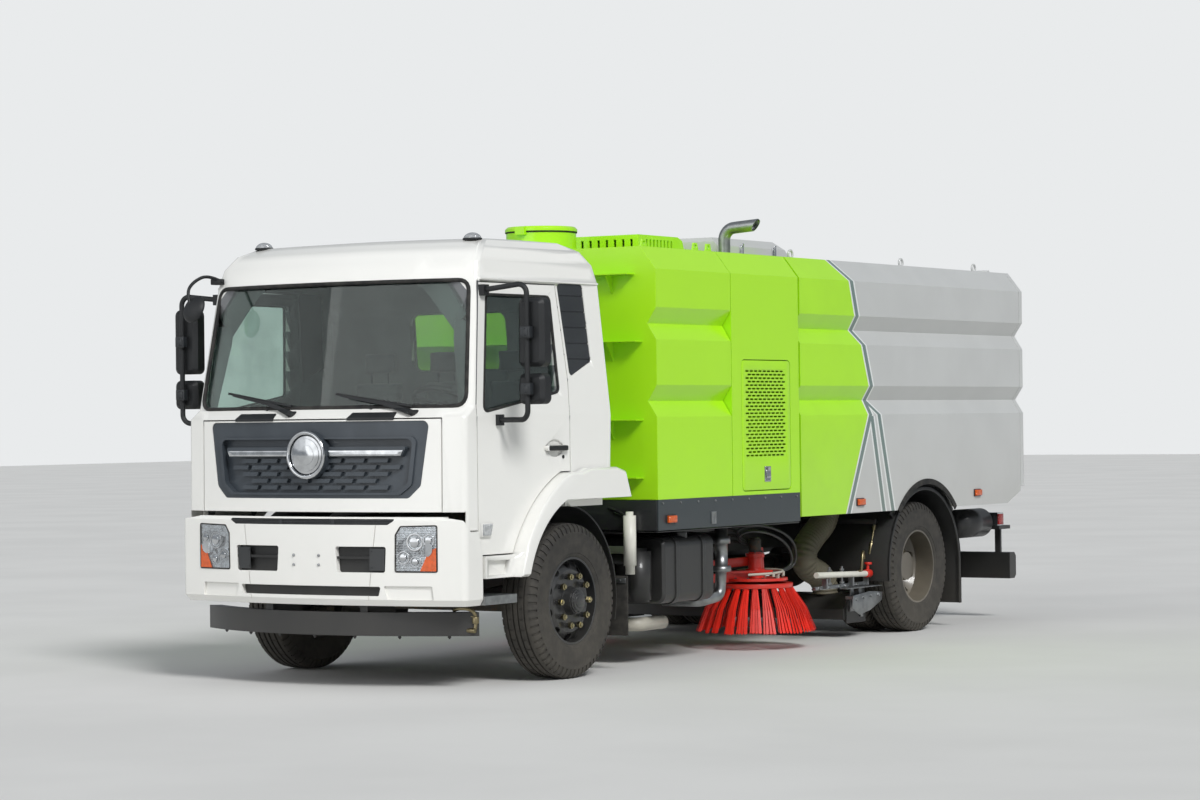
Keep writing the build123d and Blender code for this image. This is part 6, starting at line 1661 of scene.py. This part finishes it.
class SWEEPER_OT_hopper(bpy.types.Operator):
    """Wheel-arch trims and guards, lifting lugs and roof catches, and the tail door's hinges and latches"""

    bl_idname = "sweeper.hopper"
    bl_label = "Hopper"

    def execute(self, context):
        self.arches()
        self.roof()
        self.tail()
        self.skirt()
        return {"FINISHED"}

    def arches(self):
        """Trims round the arches, and a guard over each pair of wheels: band, lip, flange, flap and stays."""
        trims, guards = [], []
        steps = 40
        for _, side in SIDES:
            pairs = zip(*(side_arc(radius, 42, 138, steps) for radius in ARCH_RADII))
            corners = [(side * ARCH_X, y, z) for pair in pairs for y, z in pair]
            arch = mesh_piece("Arch", corners, [(2 * i, 2 * i + 1, 2 * i + 3, 2 * i + 2) for i in range(steps)])
            thicken(arch, ARCH_THICKNESS, 0.0)
            soften(arch, 0.004)
            trims.append(arch)
            for inner, x in ((GUARD_BAND, 0.600), (GUARD_LIP, 1.213)):
                outline = side_arc(GUARD_OUTER, -8, 180) + [(REAR_AXLE_Y + GUARD_OUTER, GUARD_LOW_Z),
                                                            (REAR_AXLE_Y + inner, GUARD_LOW_Z)]
                outline += side_arc(inner, -8, 180)[::-1]
                guards.append(profile_solid("Guard", outline, *sorted((side * x, side * GUARD_EDGE_X))))
            flange = side_arc(0.702, 38, 142) + side_arc(0.627, 38, 142)[::-1]
            guards.append(profile_solid("Flange", flange, *sorted((side * 1.190, side * 1.202))))
            low, high = sorted((side * 0.430, side * 0.640))
            guards += [start_box("Stay", (low, y, 0.740), (high, y + 0.040, 0.780))
                       for y in (REAR_AXLE_Y - 0.600, REAR_AXLE_Y + 0.560)]
        for piece in guards:
            soften(piece, 0.002)
        fit("Arch_trims", trims, "hopper", "rubber")
        fit("Rear_guards", guards, "chassis", "plastic", ("rear_mudguards",))

    def roof(self):
        """Lifting lugs with round holes, the catches of the low box, and the gasket of the tank's hatch."""
        lugs, catches = [], []
        for side in (1.0, -1.0):
            x = side * 1.000
            for y in (0.520, 2.323, 3.640):
                lugs += [start_ring("Lug", (x, y, ROOF_Z + 0.034), 0.030, 0.009, 24, 10, (0, math.pi / 2, 0)),
                         start_box("Foot", (x - 0.030, y - 0.045, ROOF_Z),
                                   (x + 0.030, y + 0.045, ROOF_Z + 0.010), 0.003)]
            for y in (0.560, 1.060):
                plate = start_box("Catch", (side * 0.556 - 0.006, y - 0.022, ROOF_Z + 0.030),
                                  (side * 0.556 + 0.006, y + 0.022, ROOF_Z + 0.120), 0.003)
                lever = start_drum("Lever", (side * 0.566, y, ROOF_Z + 0.078), 0.012, 0.060, "Z", 14)
                hook = [(side * (0.566 + out), y + shift, ROOF_Z + height)
                        for out, shift, height in ((0.0, -0.014, 0.100), (0.008, -0.014, 0.130),
                                                   (0.008, 0.014, 0.130), (0.0, 0.014, 0.100))]
                catches += [plate, lever, start_tube("Hook", hook, 0.004, 8)]
        fit("Lifting_lugs", lugs, "hopper", "rear")
        fit("Box_catches", catches, "hopper", "chrome")
        gasket = start_ring("Gasket", (0, -1.330, 3.029), 0.251, 0.007, 64, 8)
        fit("Hatch_gasket", [gasket], "chassis", "rubber")

    def tail(self):
        """Hinge knuckles along the roof, swing-bolt latches, stiffeners with a grab bar, and a blank plate."""
        hinges = []
        for x in (-0.900, -0.300, 0.300, 0.900):
            hinges += [start_drum("Knuckle", (x, TAIL_Y - 0.020, ROOF_Z + 0.010), 0.022, 0.120, "X", 20, 0.003),
                       start_box("Leaf", (x - 0.055, TAIL_Y - 0.150, ROOF_Z - 0.002),
                                 (x + 0.055, TAIL_Y - 0.030, ROOF_Z + 0.010), 0.002)]
        fit("Tail_hinges", hinges, "hopper", "rear")
        latches = []
        for x in (LATCH_X, -LATCH_X):
            for z in (1.320, 2.050, 2.600):
                clasp = start_box("Clasp", (x - 0.035, TAIL_Y, z - 0.045), (x + 0.035, TAIL_Y + 0.022, z + 0.045))
                sink(clasp, "+y", 0.012, (0, -0.008, 0))
                soften(clasp, 0.003)
                latches += [clasp, start_drum("Swing bolt", (x, TAIL_Y + 0.024, z), 0.011, 0.110, "Z", 14)]
        fit("Tail_latches", latches, "tail_door", "steel")
        bar = ((-0.42, 0.0), (-0.42, 0.030), (-0.38, 0.034), (0.38, 0.034), (0.42, 0.030), (0.42, 0.0))
        ribs = [start_tube("Grab bar", [(x, TAIL_Y + out, 1.620) for x, out in bar], 0.011)]
        for x in (-0.620, 0.620):
            rib = start_box("Rib", (x - 0.045, TAIL_Y - 0.002, 1.240), (x + 0.045, TAIL_Y + 0.026, 2.640))
            taper(rib, "+y", (0.6, 1, 0.96))
            soften(rib, 0.004)
            ribs.append(rib)
        drain = start_drum("Drain", (0.0, TAIL_Y + 0.020, 1.190), 0.060, 0.045, "Y", 32)
        sink(drain, "+y", 0.014, (0, -0.010, 0))
        soften(drain, 0.004)
        fit("Tail_stiffeners", [*ribs, drain], "tail_door", "rear")
        plate = start_box("Plate", (-0.230, TAIL_Y + 0.001, 1.330), (0.230, TAIL_Y + 0.006, 1.450), 0.003)
        fit("Rear_blank_plate", [plate], "tail_door", "trim")

    def skirt(self):
        """Dark plates before and under the tank and engine bay, with brake lines, and the skirt's bolts and latch; the
        black plates paint the shade of the space below the tank.
        """
        # Painted shade: the front plate and the trays are black sheets that fill the space under the tank and engine
        # bay, which lies in shade
        plates = [start_box("Front", (-1.244, -1.829, 0.936), (1.244, -1.8205, 1.143), 0.0015)]
        for side in (1.0, -1.0):
            low, high = sorted((side * 0.436, side * 1.243))
            plates += [start_box("Tray", (low, y0, 0.922), (high, y1, 0.9295), 0.0015)
                       for y0, y1 in ((-1.820, -0.815), (-0.810, 0.170))]
        plates += [start_tube("Line", [(x, -1.832, 1.090 - shift), (x + 0.12, -1.845, 1.060 - shift),
                                       (x + 0.18, -1.840, 0.990), (x + 0.16, -1.834, 0.945)], 0.008)
                   for x, shift in ((0.86, 0.0), (0.90, 0.03), (-1.04, 0.0), (-1.08, 0.03))]
        fit("Dark_plates", plates, "chassis", "chassis")
        fixings = [start_drum("Bolt head", (1.2535, -1.760 + 0.235 * index, 1.120), 0.008, 0.006, "X", 6)
                   for index in range(9)]
        latch = start_box("Latch", (1.250, -1.115, 0.958), (1.258, -1.052, 1.045))
        sink(latch, "+x", 0.012, (-0.004, 0, 0))
        soften(latch, 0.002)
        fit("Skirt_fixings", both(*fixings, latch), "chassis", "steel")


# Gear round the brushes and the nozzle

# The hose's path as (y, z), its plane, radius, ribs' height and pitch, and how often its corners are evened out
HOSE_PATH = ((1.440, 0.335), (1.435, 0.420), (1.330, 0.490), (1.190, 0.530), (1.095, 0.600), (1.130, 0.700),
             (1.270, 0.790), (1.420, 0.870), (1.500, 0.980), (1.500, 1.232))
HOSE_PLACE_X = 0.760
HOSE_RADIUS = 0.093
HOSE_RIB = 0.011
HOSE_PITCH = 0.030
HOSE_SIDES = 36
HOSE_EVENING = 30
# Radius on which the cover's spray jets sit
SPRAY_RADIUS = 0.207
# Height of the motor's ports, and the middle of the manifold's face on the frame
PORT_Z = 0.762
MANIFOLD_Y = -0.120
MANIFOLD_Z = 0.800
# Planes of the nozzle's water pipe and of its spindles
PIPE_X = 1.078
SPINDLE_X = 1.038
# Link of the brush arm: its pin on the frame
LINK_PIN = (0.580, -0.300, 0.608)
# Rod that lifts the nozzle: upper and lower end, and its stages as share of its run, radius, length and sides
ROD_TOP = (1.070, 1.681, 0.848)
ROD_FOOT = (1.040, 1.590, 0.425)
ROD_STAGES = ((0.5, 0.008, None, 16), (0.42, 0.019, 0.090, 6), (0.30, 0.014, 0.016, 6), (0.54, 0.014, 0.016, 6),
              (0.03, 0.015, 0.040, 16), (0.97, 0.015, 0.040, 16))


def ribbed_hose(name, x, path, radius, rib, pitch):
    """A suction hose in an upright plane, with ribs; the path is (y, z)."""
    fine = []
    points = [Vector(point) for point in path]
    for start, end in zip(points, points[1:]):
        steps = max(1, round((end - start).length / (pitch / 4)))
        fine += [start.lerp(end, step / steps) for step in range(steps)]
    fine.append(points[-1])
    for _ in range(HOSE_EVENING):
        fine = [fine[0]] + [(a + 2 * b + c) / 4 for a, b, c in zip(fine, fine[1:], fine[2:])] + [fine[-1]]
    corners = []
    along = 0.0
    for index, spot in enumerate(fine):
        before, after = fine[max(index - 1, 0)], fine[min(index + 1, len(fine) - 1)]
        heading = (after - before).normalized()
        across_path = Vector((-heading.y, heading.x))
        if index:
            along += (spot - fine[index - 1]).length
        swell = radius + rib * (0.5 + 0.5 * math.cos(2 * math.pi * along / pitch))
        for a, b in circle(swell, HOSE_SIDES):
            offset = across_path * a
            corners.append((x + b, spot.x + offset.x, spot.y + offset.y))
    faces = []
    for start in range(0, (len(fine) - 1) * HOSE_SIDES, HOSE_SIDES):
        for step in range(HOSE_SIDES):
            a, b = start + step, start + (step + 1) % HOSE_SIDES
            faces.append((a, b, b + HOSE_SIDES, a + HOSE_SIDES))
    faces += [tuple(range(HOSE_SIDES)), tuple(range(len(corners) - HOSE_SIDES, len(corners)))]
    piece = mesh_piece(name, corners, faces)
    smooth(piece)
    return piece


def bridge_bodies(piece, finish):
    """Dress a piece whose two ends ride on two bodies."""
    piece.data.materials.clear()
    piece.data.materials.append(FINISH[finish])
    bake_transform(piece)


class SWEEPER_OT_sweeping_gear(bpy.types.Operator):
    """Hydraulic motors and hoses of the brushes, their spray pipes, and the nozzle's drawbars, rods and valves"""

    bl_idname = "sweeper.sweeping_gear"
    bl_label = "Sweeping gear"

    def execute(self, context):
        hose = ribbed_hose("Suction_hose", HOSE_PLACE_X, HOSE_PATH, HOSE_RADIUS, HOSE_RIB, HOSE_PITCH)
        dress(hose, "nozzle", FINISH["hose"], ("suction_hose",))
        for name, side in SIDES:
            self.brush_gear(name, side)
            self.brush_hoses(name, side)
        self.nozzle_gear()
        for name, side in SIDES:
            self.lift_rod(name, side)
        return {"FINISHED"}

    def brush_gear(self, name, side):
        """Motor, upper link and spray pipe, all on the arm."""
        x, y = BRUSH_PLACE
        arm = f"brush_arm_{name}"
        motor = start_drum("Motor", (x, y, 0.750), 0.046, 0.094, "Z", 28)
        sink(motor, "+z", 0.010, (0, 0, 0.014))
        soften(motor, 0.003)
        ports = [start_drum("Port", (x - 0.052, y + shift, PORT_Z), 0.013, 0.034, "X", 14) for shift in (-0.022, 0.022)]
        studs = [start_drum("Stud", (x + a, y + b, 0.708), 0.008, 0.012, "Z", 6) for a, b in circle(0.058, 6)]
        studs += [start_drum("Stud", (x + a, y + b, 0.518), 0.009, 0.010, "Z", 6) for a, b in circle(0.205, 12, 0.5)]
        fit_on_side(f"Brush_motor_{name}", [motor, *ports, *studs], side, arm, "cast")

        # Upper link of the arm, the upright that it turns on and its two pins
        upright = start_box("Upright", (x - 0.034, y + 0.048, 0.516), (x + 0.034, y + 0.084, 0.735))
        taper(upright, "+z", (0.7, 1, 1))
        start, end = Vector(LINK_PIN), Vector((x - 0.030, y + 0.030, 0.640))
        run = end - start
        link = start_box("Link", (-0.019, -0.033, -run.length / 2), (0.019, 0.033, run.length / 2))
        link.data.transform(Matrix.Translation((start + end) / 2) @ run.to_track_quat("Z", "Y").to_matrix().to_4x4())
        linkage = [upright, link, start_drum("Pin", (x - 0.030, y + 0.040, 0.640), 0.022, 0.100, "Z", 20),
                   start_drum("Pin", LINK_PIN, 0.024, 0.110, "Z", 20)]
        for piece in linkage:
            soften(piece, 0.003)
        fit_on_side(f"Brush_link_{name}", linkage, side, arm, "arm")

        # Spray pipe round the front of the cover, with its jets and clips
        bow = start_tube("Bow", [(x - 0.170, y - 0.060, 0.545), (x - 0.190, y + 0.060, 0.565),
                                 (x - 0.060, y + 0.190, 0.570), (x + 0.110, y + 0.190, 0.565),
                                 (x + 0.215, y + 0.050, 0.560), (x + 0.190, y - 0.110, 0.550),
                                 (x + 0.060, y - 0.210, 0.545)], 0.010)
        jets = [start_drum("Jet", (x + SPRAY_RADIUS * math.cos(angle), y + SPRAY_RADIUS * math.sin(angle), 0.545),
                           0.012, 0.034, "Z", 14) for angle in (-0.35, 0.4, 1.1)]
        clips = [start_box("Clip", (x + 0.185, y - 0.020, 0.514), (x + 0.205, y + 0.000, 0.560)),
                 start_box("Clip", (x - 0.040, y + 0.180, 0.514), (x - 0.020, y + 0.200, 0.572))]
        fit_on_side(f"Brush_spray_{name}", [bow, *jets, *clips], side, arm, "pale")

    def brush_hoses(self, name, side):
        """Hoses over the cover, hoses from the frame to the motor, and the manifold that they start from."""
        x, y = BRUSH_PLACE
        arm = f"brush_arm_{name}"
        loops = [start_tube("Loop", [(x - 0.052, y - 0.022 + shift, PORT_Z), (x - 0.090, y - 0.130, 0.790 + shift),
                                     (x - 0.010 - shift, y - 0.140, 0.862 + shift),
                                     (x + 0.040, y + 0.120, 0.850 + reach),
                                     (x + 0.060 + shift, y + 0.380 + reach, 0.760 + shift),
                                     (x + 0.050, y + 0.500 + reach, 0.610), (x + 0.020, y + 0.400 + reach, 0.545),
                                     (x - 0.020, y + 0.235, 0.555), (x - 0.030, y + 0.188, 0.570)], 0.0105)
                 for shift, reach in ((0.0, 0.0), (0.030, 0.050))]
        fit_on_side(f"Brush_loops_{name}", loops, side, arm, "trim")
        # Pressure, return and drain
        lines = [start_tube("Line", [(0.425, MANIFOLD_Y + shift, MANIFOLD_Z),
                                     (0.500, MANIFOLD_Y + shift, MANIFOLD_Z - sag),
                                     (0.640, -0.100 + shift, 0.850 - sag), (0.720, 0.020 + shift, 0.880 - sag),
                                     (0.760, 0.120 + shift, 0.860 - sag), (0.790, y + shift, 0.790),
                                     (0.812, y + shift * 0.9, PORT_Z)], 0.012)
                 for shift, sag in ((-0.022, 0.0), (0.022, 0.045), (0.060, 0.090))]
        bridge_bodies(on_side(f"Brush_hoses_{name}", lines, side), "rubber")
        block = start_box("Manifold", (0.428, -0.190, 0.765), (0.445, 0.000, 0.835), 0.003)
        unions = [start_drum("Union", (0.438, MANIFOLD_Y + shift, MANIFOLD_Z), 0.017, 0.030, "X", 6)
                  for shift in (-0.022, 0.022, 0.060)]
        fit_on_side(f"Manifold_{name}", [block, *unions], side, "chassis", "steel")

    def nozzle_gear(self):
        """Drawbars and brackets, water pipes, valves, elbows and the outriggers of the lift rods."""
        bar = start_box("Drawbar", (1.020, 0.760, 0.385), (1.050, 1.620, 0.425))
        taper(bar, "-y", (1, 1, 0.6))
        soften(bar, 0.003)
        lift_arm = start_box("Upright", (1.012, 1.360, 0.200), (1.022, 1.440, 0.470))
        taper(lift_arm, "+z", (1, 0.5, 1))
        soften(lift_arm, 0.002)
        foot = start_box("Gusset", (1.012, 1.500, 0.150), (1.022, 1.610, 0.400))
        taper(foot, "-z", (1, 0.35, 1))
        soften(foot, 0.002)
        plate = profile_solid("Plate", ((1.210, 0.235), (1.333, 0.180), (1.510, 0.207), (1.700, 0.275), (1.712, 0.337),
                                        (1.500, 0.352), (1.230, 0.330)), 1.112, 1.120)
        soften(plate, 0.002)
        frame_pieces = [bar, lift_arm, foot, plate,
                        start_box("Blade", (1.060, 1.120, 0.384), (1.125, 1.700, 0.392), 0.002),
                        start_box("Bridge", (1.045, 1.240, 0.300), (1.115, 1.290, 0.325))]
        frame_pieces += [start_box("Clip", (1.045, y - 0.012, 0.400), (1.085, y + 0.012, 0.475))
                         for y in (0.880, 1.300, 1.540)]
        frame_pieces += [start_drum("Bolt", (1.055, y, 0.404), 0.012, 0.012, "X", 6)
                         for y in (0.820, 0.980, 1.140, 1.240, 1.420, 1.580)]
        frame_pieces += [start_drum("Bolt", (1.124, y, z), 0.014, 0.010, "X", 6)
                         for y, z in ((1.280, 0.300), (1.400, 0.310), (1.520, 0.318), (1.640, 0.318))]
        for y in (1.000, 1.200):
            frame_pieces.append(start_drum("Spindle", (SPINDLE_X, y, 0.480), 0.009, 0.150, "Z", 12))
            frame_pieces += [start_drum("Nut", (SPINDLE_X, y, z), 0.018, 0.014, "Z", 6) for z in (0.432, 0.530)]
        fit("Nozzle_frame", both(*frame_pieces), "nozzle", "steel")
        run = ((0.720, 0.508), (1.000, 0.500), (1.260, 0.492), (1.530, 0.484))
        pipe = start_tube("Pipe", [(PIPE_X, y, z) for y, z in run], 0.023)
        fit("Nozzle_water_pipes", both(pipe), "nozzle", "white")
        valve = [start_drum("Valve", (PIPE_X, 1.545, 0.486), 0.031, 0.070, "Y", 24, 0.003),
                 start_drum("Stem", (PIPE_X, 1.548, 0.528), 0.012, 0.060, "Z", 12, 0.003),
                 start_drum("Hand wheel", (PIPE_X, 1.556, 0.562), 0.030, 0.018, "Z", 24, 0.003)]
        fit("Nozzle_valves", both(*valve), "nozzle", "arm")
        elbow = start_tube("Elbow", [(1.075, 1.440, 0.490), (1.085, 1.440, 0.560), (1.080, 1.460, 0.640),
                                     (1.070, 1.500, 0.660), (1.060, 1.520, 0.600)], 0.012)
        cock = start_drum("Cock", (1.075, 1.400, 0.494), 0.022, 0.040, "Y", 6)
        fit("Nozzle_pipes", both(elbow, cock), "nozzle", "brass")
        outrigger = [start_box("Outrigger", (0.430, 1.662, 0.862), (1.090, 1.700, 0.900), 0.003),
                     start_box("Plate", (0.430, 1.640, 0.830), (0.440, 1.722, 0.920)),
                     start_drum("Eye", (1.070, 1.681, 0.850), 0.020, 0.012, "X", 16)]
        fit("Nozzle_outriggers", both(*outrigger), "chassis", "chassis")

    def lift_rod(self, name, side):
        """A rod with its turnbuckle, from the outrigger to the drawbar."""
        start, end = (Vector((side * x, y, z)) for x, y, z in (ROD_TOP, ROD_FOOT))
        run = end - start
        stand = run.to_track_quat("Z", "X").to_matrix().to_4x4()
        links = []
        for share, radius, length, sides in ROD_STAGES:
            link = start_drum("Rod", (0, 0, 0), radius, length or run.length, "Z", sides, 0.002)
            link.data.transform(Matrix.Translation(start + run * share) @ stand)
            links.append(link)
        bridge_bodies(join(f"Lift_rod_{name}", links), "brass")


OPERATORS = [SWEEPER_OT_stage, SWEEPER_OT_finishes, SWEEPER_OT_tyres, SWEEPER_OT_wheel_nuts,
             SWEEPER_OT_bristles, SWEEPER_OT_seals, SWEEPER_OT_front, SWEEPER_OT_lamps, SWEEPER_OT_engine_doors,
             SWEEPER_OT_seats, SWEEPER_OT_cabin, SWEEPER_OT_pressings, SWEEPER_OT_fittings,
             SWEEPER_OT_hopper, SWEEPER_OT_sweeping_gear]


# Panel, registration and run


class SWEEPER_PT_panel(bpy.types.Panel):
    """Sidebar panel that lists the pieces' operators and their settings"""

    bl_label = "Street Sweeper Truck"
    bl_idname = "SWEEPER_PT_panel"
    bl_space_type = "VIEW_3D"
    bl_region_type = "UI"
    bl_category = "Sweeper"

    def draw(self, context):
        layout = self.layout
        for group in GROUPS:
            settings = getattr(context.scene, group)
            for name in settings.bl_rna.properties.keys():
                if name not in {"rna_type", "name"}:
                    layout.prop(settings, name)
        for operator in OPERATORS:
            layout.operator(operator.bl_idname)


GROUPS = {"sweeper_paint": SweeperPaint, "sweeper_tyre": SweeperTyre, "sweeper_stage": SweeperStage}


def register():
    for group in (*GROUPS.values(), *OPERATORS, SWEEPER_PT_panel):
        bpy.utils.register_class(group)
    for name, group in GROUPS.items():
        setattr(bpy.types.Scene, name, bpy.props.PointerProperty(type=group))


def unregister():
    for name in GROUPS:
        delattr(bpy.types.Scene, name)
    for group in reversed((*GROUPS.values(), *OPERATORS, SWEEPER_PT_panel)):
        bpy.utils.unregister_class(group)


def main():
    """Make every piece in order."""
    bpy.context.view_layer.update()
    register()
    for operator in OPERATORS:
        module, name = operator.bl_idname.split(".")
        if getattr(getattr(bpy.ops, module), name)() != {"FINISHED"}:
            raise RuntimeError(f"{operator.bl_label} did not finish")
    clear_choice()


if __name__ == "__main__":
    main()
